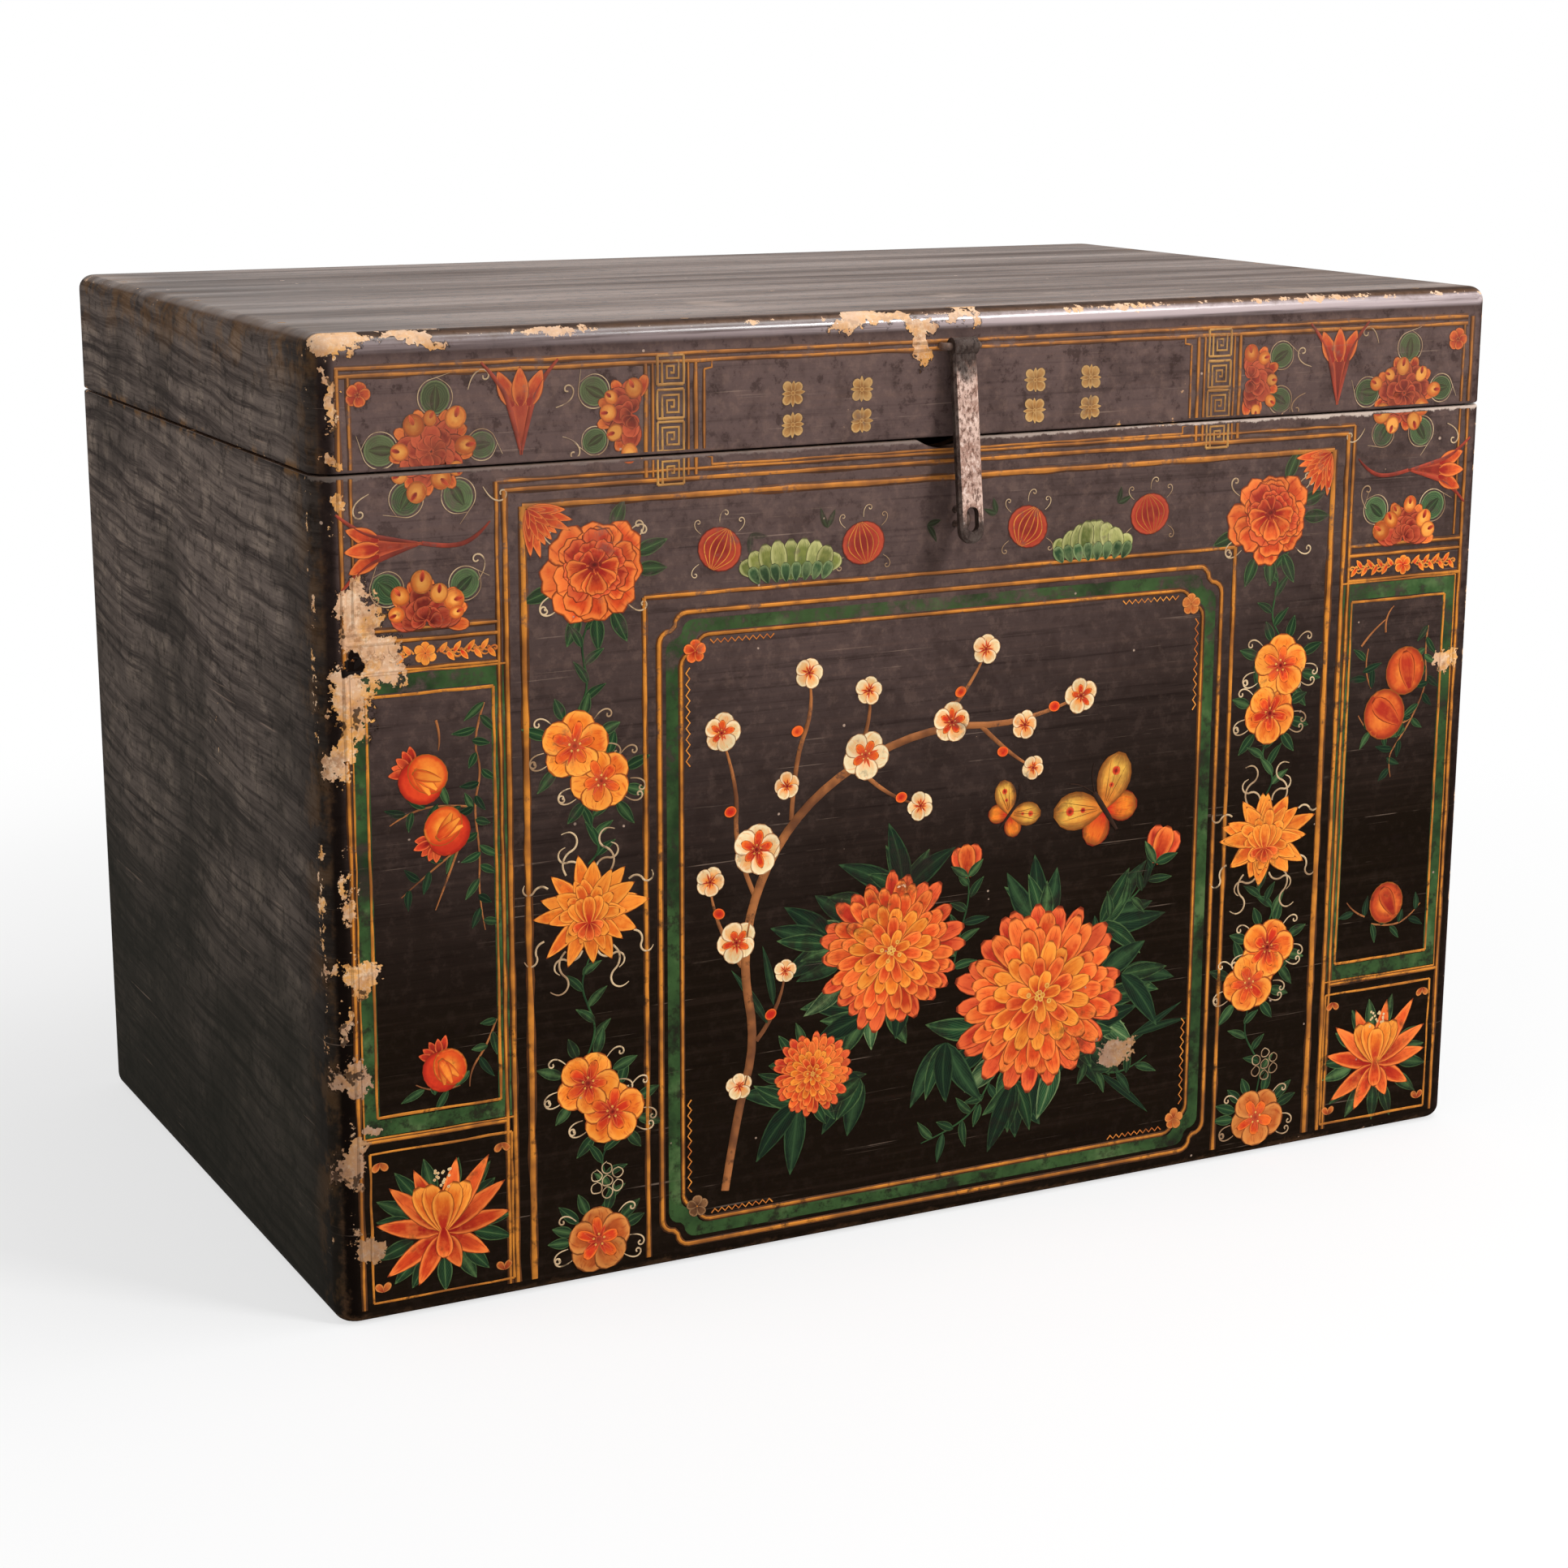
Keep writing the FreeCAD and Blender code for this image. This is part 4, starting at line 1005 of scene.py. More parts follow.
def trumpet(paint, brush, x, z, length, turn):
    """A red trumpet flower: its foot at (x, z), mouth and three petals at the far end."""
    def at(along, aside):
        return beside(x, z, length * along, length * aside, turn)
    paint.mark("horn", x, z, length * 0.72, length * 0.34, turn, 0.24, varied(RED))
    for number, lean in enumerate((-0.42, 0.42, 0.0)):
        paint.mark("point", *at(0.52, lean * 0.20), length * 0.42, length * 0.17, turn + lean,
                   0.27 + 0.01 * number, varied(ORANGE))
    for side in (-1, 1):
        points = [at(0.05, 0.01 * side), at(0.4, 0.09 * side), at(0.75, 0.20 * side), at(1.0, 0.44 * side)]
        brush.sweep(points, length * 0.075, (0.5, 0.4))


def melon(paint, brush, x, z, width, height, turn):
    """A round ribbed fruit."""
    paint.mark("disc", x, z, height, width, turn, 0.24, varied(MELON, 0.08))
    for lean in (-0.38, -0.22, -0.07, 0.09, 0.24, 0.38):
        points = []
        for share in (-0.48, -0.24, 0.0, 0.24, 0.48):
            bow = lean * width * math.cos(share * 3.0)
            points.append(beside(x, z, share * height, bow, turn))
        brush.sweep(points, 0.9)


def rib_fruit(paint, x, z, width, height, flip):
    """A long pale-green fruit lying down, made of overlapping ribs."""
    count = 9
    for number in range(count):
        share = number / (count - 1) - 0.5
        tall = height * (1.05 - 2.2 * share * share)
        px = x + share * width * 0.86
        pz = z - height * 0.42 + abs(share) * height * 0.3
        paint.mark("lobe", px, pz, tall, width * 0.19, share * 0.9 * flip, 0.24 + 0.008 * (number % 4),
                   varied(PALE_GREEN, 0.2))
    for number in range(count - 1):
        share = number / (count - 2) - 0.5
        paint.mark("lobe", x + share * width * 0.7, z - height * 0.46, height * 0.5, width * 0.13, share,
                   0.29, varied(MOSS, 0.2))


def pomegranate(paint, x, z, size, turn):
    """A two-lobed fruit with a crown of points."""
    half = size / 2
    for lean in (-0.75, -0.4, 0.0, 0.4, 0.75):
        paint.mark("point", *around(x, z, half * 0.72, turn + lean * 0.4), half * rng.uniform(0.55, 0.75),
                   half * 0.30, turn + lean, 0.24, varied(FLAME))
    for lean, share, shades, lift in ((-1.4, 0.86, RED_FRUIT, 0.26), (1.6, 0.78, GOLD_FRUIT, 0.29)):
        place = around(x, z, half * 0.20, turn + lean)
        paint.mark("disc", *place, size * share, size * share * 0.86, turn, lift, shades)
    for lean in (-0.5, 0.1, 0.6):
        foot = around(x, z, half * 0.62, turn + math.pi + lean)
        paint.mark("petal", *foot, half * 1.1, half * 0.42, turn + lean * 0.7, 0.30,
                   varied(GOLD_FRUIT, 0.2))


def peach(paint, brush, x, z, size, turn):
    """A round fruit with a cleft and a red cheek."""
    half = size / 2
    paint.mark("disc", x, z, size, size * 0.96, turn, 0.26, PEACH)
    foot = around(x, z, half * 0.8, turn + 2.5)
    paint.mark("petal", *foot, size * 0.8, half * 0.8, turn - 0.5, 0.28, varied(CHEEK))
    cleft = ((0.95, 0.1), (0.6, 0.4), (0.35, 1.2), (0.6, 2.6))
    brush.sweep([around(x, z, half * reach, turn + lean) for reach, lean in cleft], 1.1)


def leaf(leaves, x, z, length, width, turn, shades=LEAF, kind="leaf", lift=0.15):
    leaves.mark(kind, x, z, length, width, turn, lift + rng.uniform(0.0, 0.03), varied(shades, 0.2))


LEAF_KINDS = ("leaf", "leaf_left", "leaf_right")
LEAF_SPACING = 8


def sprig_of_leaves(twigs, leaves, path, leaf_size=14.0):
    """A thin twig through path with small leaves on both sides of it."""
    twigs.sweep(path, 1.5, (1.0, 0.5))
    hand = 1
    for start, end in zip(path, path[1:]):
        turn = heading(start, end)
        for number in range(max(1, round(math.dist(start, end) / LEAF_SPACING))):
            kind = rng.choice(("leaf", "leaf_right" if hand > 0 else "leaf_left"))
            leaf(leaves, *around(*start, LEAF_SPACING * number, turn), leaf_size * rng.uniform(0.7, 1.2),
                 leaf_size * 0.34, turn + hand * rng.uniform(0.5, 1.2),
                 LEAF if rng.random() < 0.7 else DEEP_LEAF, kind)
            hand = -hand


def spray(leaves, x, z, size, turns, shades):
    """A few leaves from one point."""
    for turn in turns:
        kind = rng.choice(LEAF_KINDS)
        leaf(leaves, x, z, size * rng.uniform(0.8, 1.15), size * 0.32, turn + rng.uniform(-0.15, 0.15),
             shades, kind)


def stem(brush, leaves, start, end, sway):
    """A stem that sways from start to end, with leaves on both sides."""
    length, turn = math.dist(start, end), heading(start, end)
    points = []
    for number in range(7):
        share = number / 6
        points.append(beside(*start, length * share, sway * math.sin(share * TURN), turn))
    brush.sweep(points, 1.6, (0.8, 0.6))
    for number in range(1, 6):
        side = 1 if number % 2 else -1
        kind = "leaf_right" if side > 0 else "leaf_left"
        leaf(leaves, *points[number], rng.uniform(13, 19), 5.5, turn + side * rng.uniform(0.4, 0.8),
             kind=kind)


def tendril(curls, x, z, size, turn, hand, width):
    """A curling line that leaves (x, z) along turn and winds up to one hand."""
    points = [(x, z)]
    step = size * 0.20
    for number in range(13):
        points.append(around(*points[-1], step, turn))
        turn += hand * (0.10 + 0.075 * number)
        step *= 0.93
    curls.sweep(points, width, (0.5, 1.0))


def flame_curl(curls, x, z, size, turn, hand):
    """A curl that bends one way and then back, like a flame."""
    points = [(x, z)]
    for number in range(10):
        points.append(around(*points[-1], size * 0.12, turn))
        turn += hand * (0.42 if number < 4 else -0.62)
    curls.sweep(points, 1.5, (1.0, 0.4))


def flourish(paint, x, z, size, side):
    """A quarter palmette in a corner of the border; side is 1 where it opens to the right."""
    for row, (reach, count) in enumerate(((1.0, 8), (0.72, 6), (0.46, 4))):
        for number in range(count):
            angle = side * RIGHT_ANGLE * (1.04 + 0.92 * number / (count - 1))
            paint.mark("point", x, z, size * reach * rng.uniform(0.85, 1.1), size * reach * 0.22, angle,
                       0.24 + 0.02 * row + 0.002 * number, varied(ORANGE))


def scroll_band(paint, brush, left, right, low, high):
    """A waving gold stem with scrolls and leaves, either side of a middle bud."""
    middle, z, tall = (left + right) / 2, (low + high) / 2, high - low
    ring(paint, "lobe", middle, z, 6, 0.4, tall * 0.50, tall * 0.42, 0.24, AMBER)
    run = right - middle - tall * 0.6
    for side in (-1, 1):
        wave = []
        for number in range(19):
            share = number / 18
            wave.append((middle + side * (tall * 0.5 + run * share),
                         z + tall * 0.26 * math.sin(share * TURN * 2)))
        brush.sweep(wave, 1.5, (0.9, 0.5))
        for number in range(8):
            x = middle + side * (tall * 0.5 + run * (number + 0.5) / 8)
            up = 1 if number % 2 else -1
            tendril(brush, x, z - up * tall * 0.1, tall * 0.40, side * (RIGHT_ANGLE - up * 0.9), side * up,
                    1.4)
            paint.mark("point", x, z, tall * 0.52, tall * 0.22, side * (RIGHT_ANGLE + up * 0.9), 0.25,
                       varied(AMBER))


def fret(brush, x, z, size):
    """A square key fret: a border and a line that winds in to the middle."""
    half = size / 2
    brush.frame(x - half, x + half, z - half, z + half, 1.9)
    turns = ((-0.64, -0.95), (-0.64, 0.62), (0.62, 0.62), (0.62, -0.58), (-0.28, -0.58), (-0.28, 0.26),
             (0.26, 0.26), (0.26, -0.2), (0.0, -0.2))
    brush.draw([(x + a * half, z + b * half) for a, b in turns], [1.8] * len(turns))


def lace(curls, x, z, size):
    """A small flower drawn in outline only: a ring of loops round a middle one."""
    middles = [around(x, z, size * 0.34, TURN * number / 6) for number in range(6)]
    for middle in (*middles, (x, z)):
        points = [around(*middle, size * rng.uniform(0.13, 0.18), TURN * step / 8) for step in range(9)]
        curls.sweep(points, 0.9, (0.7, 0.7))


def butterfly(paint, brush, x, z, size, turn):
    """A butterfly from above, in yellow with dark edges and spots."""
    def at(reach, lean):
        return around(x, z, size * reach, turn + lean)
    for side in (-1, 1):
        paint.mark("lobe", x, z, size * 0.62, size * 0.42, turn + side * 0.95, 0.28, FORE_WING)
        paint.mark("lobe", x, z, size * 0.42, size * 0.34, turn + side * 2.15, 0.26, HIND_WING)
        for reach, width in ((0.42, 0.10), (0.26, 0.06)):
            paint.mark("disc", *at(reach, side * 0.95), size * width, size * width, turn, 0.31, FLAME)
        for lean in (0.75, 0.95, 1.15):
            foot, tip = at(0.08, side * lean), at(0.52, side * lean)
            brush.sweep([foot, foot, tip], 0.5)
        brush.sweep([at(0.20, 0.0), at(0.42, side * 0.16), at(0.52, side * 0.34)], 0.8, (0.6, 0.9))
    brush.sweep([at(0.30, math.pi), (x, z), at(0.22, 0.0)], size * 0.09, (0.4, 0.7))


# Layout of the front

SIDES = ((-1, "left"), (1, "right"))
FOOT_Z = 9.0
EDGE_X, EDGE_LINE_X, LID_LINE_X = 402.0, 400.0, 393.5
LID_LINES = (571.0, 566.5)
LID_LINE_LOW, LID_LINE_HIGH = 424, 566
FRET_X, FRET_SIZE = 195.0, 17.0
FRET_Z = (561.5, 541.5, 522.5, 502.5)
FRET_LOW = 499
# Upright lines beside the frets: x and width
FRET_LINES = ((211.0, 2.2), (206.5, 1.4), (183.5, 1.4), (178.5, 2.2))
CARTOUCHE_X, CARTOUCHE_STEP = 173.0, 5
CARTOUCHE_LOW, CARTOUCHE_HIGH = (510.0, 504.3), (561.0, 565.5)
# The upside-down U and the line inside it: x, z and width
U_LINES = ((306.0, 502.5, 1.9), (301.0, 497.0, 2.8), (290.0, 487.0, 4.0), (213.0, 427.5, 2.6))
CENTRE_X, CENTRE_LOW, CENTRE_HIGH = 203.5, 13.0, 416.5
CENTRE_STEP, CENTRE_SHOULDER = 10.5, 8.0
# Side columns: heights of the rules, and frames as near and far x, low and high z, and width
COLUMN_RULES = (421.0, 414.5, 397.5, 114.5)
COLUMN_FRAMES = ((310.0, 388.5, 129.0, 383.0, 2.0), (301.5, 397.0, 116.5, 396.0, 1.2),
                 (303.5, 394.0, 12.5, 107.0, 1.8))
# Heights of bands and brush lines over the wood, in millimetres
BAND_LIFT, BROWN_LIFT, BRANCH_LIFT, TWIG_LIFT, STEM_LIFT = 0.06, 0.06, 0.10, 0.13, 0.14
GOLD_LIFT, FRET_LIFT, CURL_LIFT, RED_LIFT, RIB_LIFT, FINE_LIFT = 0.17, 0.19, 0.2, 0.22, 0.28, 0.33


def span(side, near, far):
    """Two distances from the middle as left and right places on one side of it."""
    return sorted((side * near, side * far))


def centre_field(inset):
    """Half width, foot and head of the middle frame, drawn in by inset."""
    return CENTRE_X - inset, CENTRE_LOW + inset, CENTRE_HIGH - inset


def stepped_outline(inset):
    """Points round the middle frame, whose corners step in with a round shoulder."""
    half, low, high = centre_field(inset)
    middle = (low + high) / 2
    shoulders = ((half - CENTRE_SHOULDER, high - CENTRE_STEP - CENTRE_SHOULDER),
                 (half - CENTRE_STEP - CENTRE_SHOULDER, high - CENTRE_SHOULDER))
    corner = []
    for x, z in shoulders:
        for number in range(5):
            angle = RIGHT_ANGLE * number / 4
            corner.append((x + CENTRE_SHOULDER * math.cos(angle), z + CENTRE_SHOULDER * math.sin(angle)))
    upper = corner + [(-x, z) for x, z in reversed(corner)]
    return upper + [(x, 2 * middle - z) for x, z in reversed(upper)]


def filled_band(name, outer, inner):
    """A flat band between two closed outlines."""
    curve = bpy.data.curves.new(name, "CURVE")
    curve.dimensions = "2D"
    curve.fill_mode = "FRONT"
    for outline in (outer, inner):
        spline = curve.splines.new("POLY")
        spline.points.add(len(outline) - 1)
        for point, (x, z) in zip(spline.points, outline):
            point.co = (x * MM, z * MM, 0.0, 1.0)
        spline.use_cyclic_u = True
    activate(link(name, curve))
    bpy.ops.object.convert(target="MESH")
    piece = bpy.context.active_object
    upright = Matrix.Rotation(RIGHT_ANGLE, 4, "X")
    piece.data.transform(Matrix.Translation(spot(0, 0, BAND_LIFT)) @ upright)
    return piece


def box_outline(left, right, low, high):
    return [(left, low), (right, low), (right, high), (left, high)]


def green_bands(paints):
    """The bands of the middle frame and of the two long panels."""
    bands = [("middle_green_band", stepped_outline(4.6), stepped_outline(12.6))]
    for side, label in SIDES:
        outer = box_outline(*span(side, 302.5, 397.0), 117.5, 395.0)
        inner = box_outline(*span(side, 311.5, 387.0), 127.5, 384.5)
        bands.append((f"{label}_green_band", outer, inner))
    for name, outer, inner in bands:
        settle(filled_band(name, outer, inner), "chest", paints["band"])


def gold_lines(paints):
    """Ruled lines, stepped frames and key frets of the whole front, cut at the seam."""
    gold, brown = Strokes("gold_lines", GOLD_LIFT), Strokes("brown_lines", BROWN_LIFT, 0.02)

    def rule(start, end, width, shade=2.2):
        gold.line(start, end, width)
        brown.line(start, end, width + shade)

    # The lid's border and the cartouche, which both cross the seam
    for z in LID_LINES:
        rule((-EDGE_X + 1, z), (EDGE_X - 6, z), 2.1)
    turn_x, foot_z = CARTOUCHE_X - CARTOUCHE_STEP, CARTOUCHE_LOW[1]
    for side, _ in SIDES:
        rule((side * EDGE_LINE_X, FOOT_Z), (side * EDGE_LINE_X, LID_LINES[0]), 2.1)
        rule((side * LID_LINE_X, LID_LINE_LOW), (side * LID_LINE_X, LID_LINE_HIGH), 1.4)
        for x, width in FRET_LINES:
            rule((side * x, FRET_LOW), (side * x, LID_LINE_HIGH), width, 1.6)
        rule((side * CARTOUCHE_X, CARTOUCHE_LOW[0]), (side * CARTOUCHE_X, CARTOUCHE_HIGH[0]), 1.5, 1.2)
        for start, end in (CARTOUCHE_HIGH, CARTOUCHE_LOW):
            bend = start + (end - start) * 0.2
            gold.draw([(side * CARTOUCHE_X, start), (side * turn_x, bend), (side * turn_x, end)], [1.4] * 3)
    rule((-turn_x, foot_z), (turn_x, foot_z), 1.5, 1.2)
    for x, z, width in U_LINES:
        rule((-x, FOOT_Z), (-x, z), width)
        rule((-x, z), (x, z), width * 0.85)
        rule((x, z), (x, FOOT_Z), width)
    for inset, width in ((0.0, 2.5), (14.5, 2.0)):
        outline = stepped_outline(inset)
        for strokes, extra in ((gold, 0.0), (brown, 2.0)):
            widths = [(width + extra) * rng.uniform(0.85, 1.15) for _ in outline]
            strokes.draw(outline, widths, closed=True)
    # Side columns: scroll band, long panel and square panel
    for side, _ in SIDES:
        for z in COLUMN_RULES:
            rule((side * U_LINES[0][0], z), (side * EDGE_LINE_X, z), 1.9)
        for near, far, low, high, width in COLUMN_FRAMES:
            gold.frame(*span(side, near, far), low, high, width)
    halves(brown.done(), paints["brown"])
    halves(gold.done(), paints["gold"])

    key = Strokes("key_fret", FRET_LIFT)
    for side, _ in SIDES:
        for z in FRET_Z:
            fret(key, side * FRET_X, z, FRET_SIZE)
    halves(key.done(), paints["fret"])


def zigzags(paints):
    """Fine zigzag lines in the corners of the middle frame."""
    zigzag = Strokes("corner_zigzags", GOLD_LIFT)
    half, low, high = centre_field(17.0)
    for side, _ in SIDES:
        for end, away in ((high, -1), (low, 1)):
            across, upright = [], []
            for number in range(19):
                wave = 1.3 if number % 2 else -1.3
                across.append((side * (half - 17 - 2.4 * number), end + away * (2.0 + wave)))
                upright.append((side * (half - 2.0 + wave), end + away * (17 + 3.4 * number)))
            for points in (across, upright):
                zigzag.draw(points, [1.0] * len(points))
    settle_all("chest", paints, amber=zigzag)


def spandrels(paints):
    """The flowers of the lid band and of the fields beside the U, which cross the seam."""
    paint, leaves = Paint("spandrel_flowers"), Paint("spandrel_leaves")
    curls, brush = Strokes("spandrel_curls", CURL_LIFT), Strokes("spandrel_red_lines", RED_LIFT)
    full = [TURN * number / 9 for number in range(9)]
    for side, _ in SIDES:
        inward = [side * angle for angle in (0.1, 0.8, 1.57, 2.3, 3.0)]
        clusters = ((345, 522, 64, full, (0.1, 1.5, 2.6, -2.6, -1.5)),
                    (219, 537, 60, inward, (side * 1.05, side * 2.1)),
                    (350, 424, 66, (-1.35, -0.8, -0.25, 0.3, 0.8, 1.35), (-0.85, 0.85)))
        for x, z, size, angles, leaf_angles in clusters:
            berry_flower(paint, leaves, curls, side * x, z, size, angles, leaf_angles)
        trumpet(paint, brush, side * 290, 517, 54, 0.0)
        trumpet(paint, brush, side * 352, 470, 50, side * 1.62)
        stalk = ((352, 470), (334, 466), (318, 471), (310, 480))
        brush.sweep([(side * x, z) for x, z in stalk], 3.2, (0.9, 0.3))
        for x, z, turn, hand in ((268, 543, 1.3, 1), (264, 526, 1.9, -1), (322, 556, 0.3, -1),
                                 (314, 500, 2.6, 1), (318, 446, 0.6, 1), (383, 500, -2.0, 1)):
            tendril(curls, side * x, z, 16, side * -turn, side * hand, 1.1)
        plum(paint, side * 388, 556, 15, 0.3, ORANGE)
    pieces = [painting.done() for painting in (paint, leaves, curls, brush)]
    for piece, kind in zip(pieces, ("petal", "leaf", "curl", "red")):
        halves(piece, paints[kind])


def cartouche_ornaments(paints):
    """Small gold rosettes on the lid's bare middle field."""
    paint = Paint("cartouche_ornaments")
    for x in (-114, -67, 56, 97):
        for z in (544, 525):
            ring(paint, "lobe", x, z, 4, 1.0, 8.6, 6.6, 0.2, GILT, 0.5)
            ring(paint, "point", x, z, 4, 1.0, 8.0, 2.6, 0.23, GILT)
            paint.mark("dot", x, z, 3.0, 3.0, 0.0, 0.27, GILT)
    settle_all("lid", paints, petal=paint)


def top_band(paints):
    """Melons, ribbed fruit and corner leaves between the U and the middle frame."""
    paint, leaves = Paint("top_band_fruit"), Paint("top_band_leaves")
    curls, brush = Strokes("top_band_curls", CURL_LIFT), Strokes("melon_ribs", RIB_LIFT)
    for x, z, turn in ((-163, 453, 0.45), (-65, 450, -0.2), (53, 452, 0.45), (145, 454, -0.2)):
        melon(paint, brush, x, z, 30, 27, turn)
        for angle, hand in ((-0.9, 1), (0.9, -1), (-2.1, -1), (2.1, 1), (0.0, 1)):
            tendril(curls, *around(x, z, 16, angle), 9, angle, hand, 0.7)
    rib_fruit(paint, -115, 441, 62, 24, 1)
    rib_fruit(paint, 102, 438, 64, 24, -1)
    for side, _ in SIDES:
        flourish(paint, side * 287, 485, 28, -side)
    for x, z, turn in ((-142, 461, 1.9), (-20, 458, 1.2), (30, 462, -1.4), (120, 463, 0.4),
                       (-90, 461, -0.6)):
        spray(leaves, x, z, 12, (turn, turn + 1.2), DEEP_LEAF)
    settle_all("chest", paints, petal=paint, leaf=leaves, curl=curls, amber=brush)


# Flowers of the borders: kind, x, z, size and turn
BORDERS = {
    "left": (("peony", -245, 446, 61, 0.0), ("plum", -259, 342, 42, 0.2), ("plum", -242, 319, 40, 0.9),
             ("chrysanthemum", -251, 239, 70, 0.0), ("plum", -253, 130, 42, 0.5),
             ("plum", -237, 109, 42, 0.1), ("dim_plum", -247, 27, 44, 0.0)),
    "right": (("peony", 240, 445, 61, 0.0), ("plum", 253, 345, 44, 0.1), ("plum", 246, 313, 42, 0.7),
              ("chrysanthemum", 246, 227, 72, 0.0), ("plum", 252, 149, 42, 0.4),
              ("plum", 238, 125, 42, 1.0), ("dim_plum", 248, 27, 44, 0.6)),
}

# Leaves and curls round each kind of flower: the leaves' place, length, width and angles, then the
# curls' place, size, and angles with the hand they wind to
PLUM_CURLS = (0.95, 12, ((0.7, 1), (-0.8, -1), (1.6, 1), (-1.7, -1), (2.2, -1), (-2.1, 1)))
WREATHS = {
    "peony": ((0.9, (17, 23), 9, (1.25, 1.6, 2.7, 3.1, -2.75, 0.45, -1.9)),
              (0.98, 13, ((1.0, -1), (-2.3, 1), (2.35, -1), (-1.0, 1), (0.8, 1), (-2.0, -1)))),
    "plum": ((0.85, (14, 19), 7, (-1.2, 1.2, 1.9, 2.5, -2.4, 0.3, -0.4)), PLUM_CURLS),
    "dim_plum": ((0.85, (14, 19), 7, (-1.2, 1.2, 0.9, -0.8, -1.5, 0.3, -0.4)), PLUM_CURLS),
}

# Flame curls of a chrysanthemum on each side: place, angle, hand and size
FLAMES = ((0.72, 0.18, 1, 25), (0.80, 0.55, -1, 33), (0.9, 1.0, 1, 20), (0.70, 2.95, -1, 26),
          (0.80, 2.55, 1, 34), (0.95, 2.05, 1, 22))

# A stem starts and ends this share of a flower's size from its middle, and needs this much room
STEM_START, STEM_ROOM = 0.42, 12


def border(label, paints):
    """One upright border of flowers with their stems, leaves and curls."""
    paint, leaves = Paint(f"{label}_border_flowers"), Paint(f"{label}_border_leaves")
    curls = Strokes(f"{label}_border_curls", CURL_LIFT)
    stems = Strokes(f"{label}_border_stems", STEM_LIFT)
    flowers = BORDERS[label]
    for kind, x, z, size, turn in flowers:
        half = size / 2
        if kind == "chrysanthemum":
            chrysanthemum(paint, x, z, size, size * 0.84)
            for side, _ in SIDES:
                for reach, angle, hand, long in FLAMES:
                    place = around(x, z, half * reach, side * angle)
                    flame_curl(curls, *place, long, side * angle * 0.92, side * hand)
            continue
        if kind == "peony":
            peony(paint, x, z, size)
        else:
            plum(paint, x, z, size, turn, DIM_AMBER if kind == "dim_plum" else AMBER)
        (reach, lengths, width, angles), (curl_reach, curl_size, curl_angles) = WREATHS[kind]
        for angle in angles:
            leaf(leaves, *around(x, z, half * reach, angle), rng.uniform(*lengths), width, angle)
        for angle, hand in curl_angles:
            tendril(curls, *around(x, z, half * curl_reach, angle), curl_size, angle, hand, 1.2)
        if kind == "dim_plum":
            lace(curls, x + 6, z + size * 0.86, 24)
    for (_, top_x, top_z, top_size, _), (_, low_x, low_z, low_size, _) in zip(flowers, flowers[1:]):
        top, low = top_z - top_size * STEM_START, low_z + low_size * STEM_START
        if top - low > STEM_ROOM:
            stem(stems, leaves, (low_x, low), (top_x, top), rng.choice((-5, 5)))
    settle_all("chest", paints, petal=paint, leaf=leaves, curl=curls, stem=stems)


# Side columns: fruit as x, z, size and turn, then twigs with leaves and bare twigs as paths
COLUMNS = {
    "left": (((-354, 332, 34, -0.9), (-341, 300, 33, -2.3), (-345, 153, 31, -0.5)),
             (((-316, 374), (-324, 352), (-318, 334), (-324, 312), (-320, 284), (-322, 258), (-318, 236)),
              ((-324, 312), (-346, 316), (-366, 312), (-376, 306)), ((-330, 290), (-352, 276), (-370, 262)),
              ((-312, 180), (-318, 164), (-330, 150), (-330, 140)),
              ((-336, 142), (-352, 138), (-364, 146))),
             (((-346, 366), (-343, 356), (-345, 348)), ((-333, 290), (-342, 268), (-349, 252)))),
    "right": (((358, 332, 34, 0.3), (342, 303, 36, -0.4), (352, 168, 30, 0.0)),
              (((376, 362), (374, 342), (378, 322), (366, 298), (356, 284), (346, 272), (350, 258)),
               ((366, 298), (338, 288), (326, 294), (320, 304)), ((330, 322), (322, 334), (326, 350)),
               ((334, 160), (324, 164), (318, 172)), ((340, 154), (356, 150), (372, 154), (382, 164))),
              (((320, 352), (328, 362), (341, 370)), ((340, 360), (338, 372), (346, 378)))),
}


def side_column(side, label, paints):
    """Scroll band, fruit of the long panel and lotus of the square one."""
    paint, leaves = Paint(f"{label}_column_fruit"), Paint(f"{label}_column_leaves")
    brush = Strokes(f"{label}_column_scrolls", CURL_LIFT)
    twigs = Strokes(f"{label}_column_twigs", TWIG_LIFT)
    scroll_band(paint, brush, *span(side, 309.0, 394.0), 399.0, 413.0)
    fruit, sprigs, bare = COLUMNS[label]
    for place in fruit:
        if side < 0:
            pomegranate(paint, *place)
        else:
            peach(paint, brush, *place)
    for path in sprigs:
        sprig_of_leaves(twigs, leaves, path)
    for path in bare:
        twigs.sweep(path, 1.8, (1.0, 0.4))
    lotus(paint, leaves, side * 349, 62, 78, 70)
    for x in (310, 388):
        for z, turn in ((101, 2.4), (19, 0.7)):
            for lean in (-turn, turn):
                paint.mark("lobe", side * x, z, 7, 5, lean, 0.22, varied(DIM_AMBER))
    settle_all("chest", paints, petal=paint, leaf=leaves, amber=brush, twig=twigs)


# The middle picture's chrysanthemums: x, z and size
PICTURE_FLOWERS = ((-42, 186, 98), (70, 140, 122), (-98, 112, 54))
# Leaves in a ring round each of them: x, z, reach, first and last angle
PICTURE_RINGS = ((70, 140, 56, 1.4, 4.4), (-42, 186, 44, 2.9, 5.7), (-98, 112, 24, 1.9, 5.9))

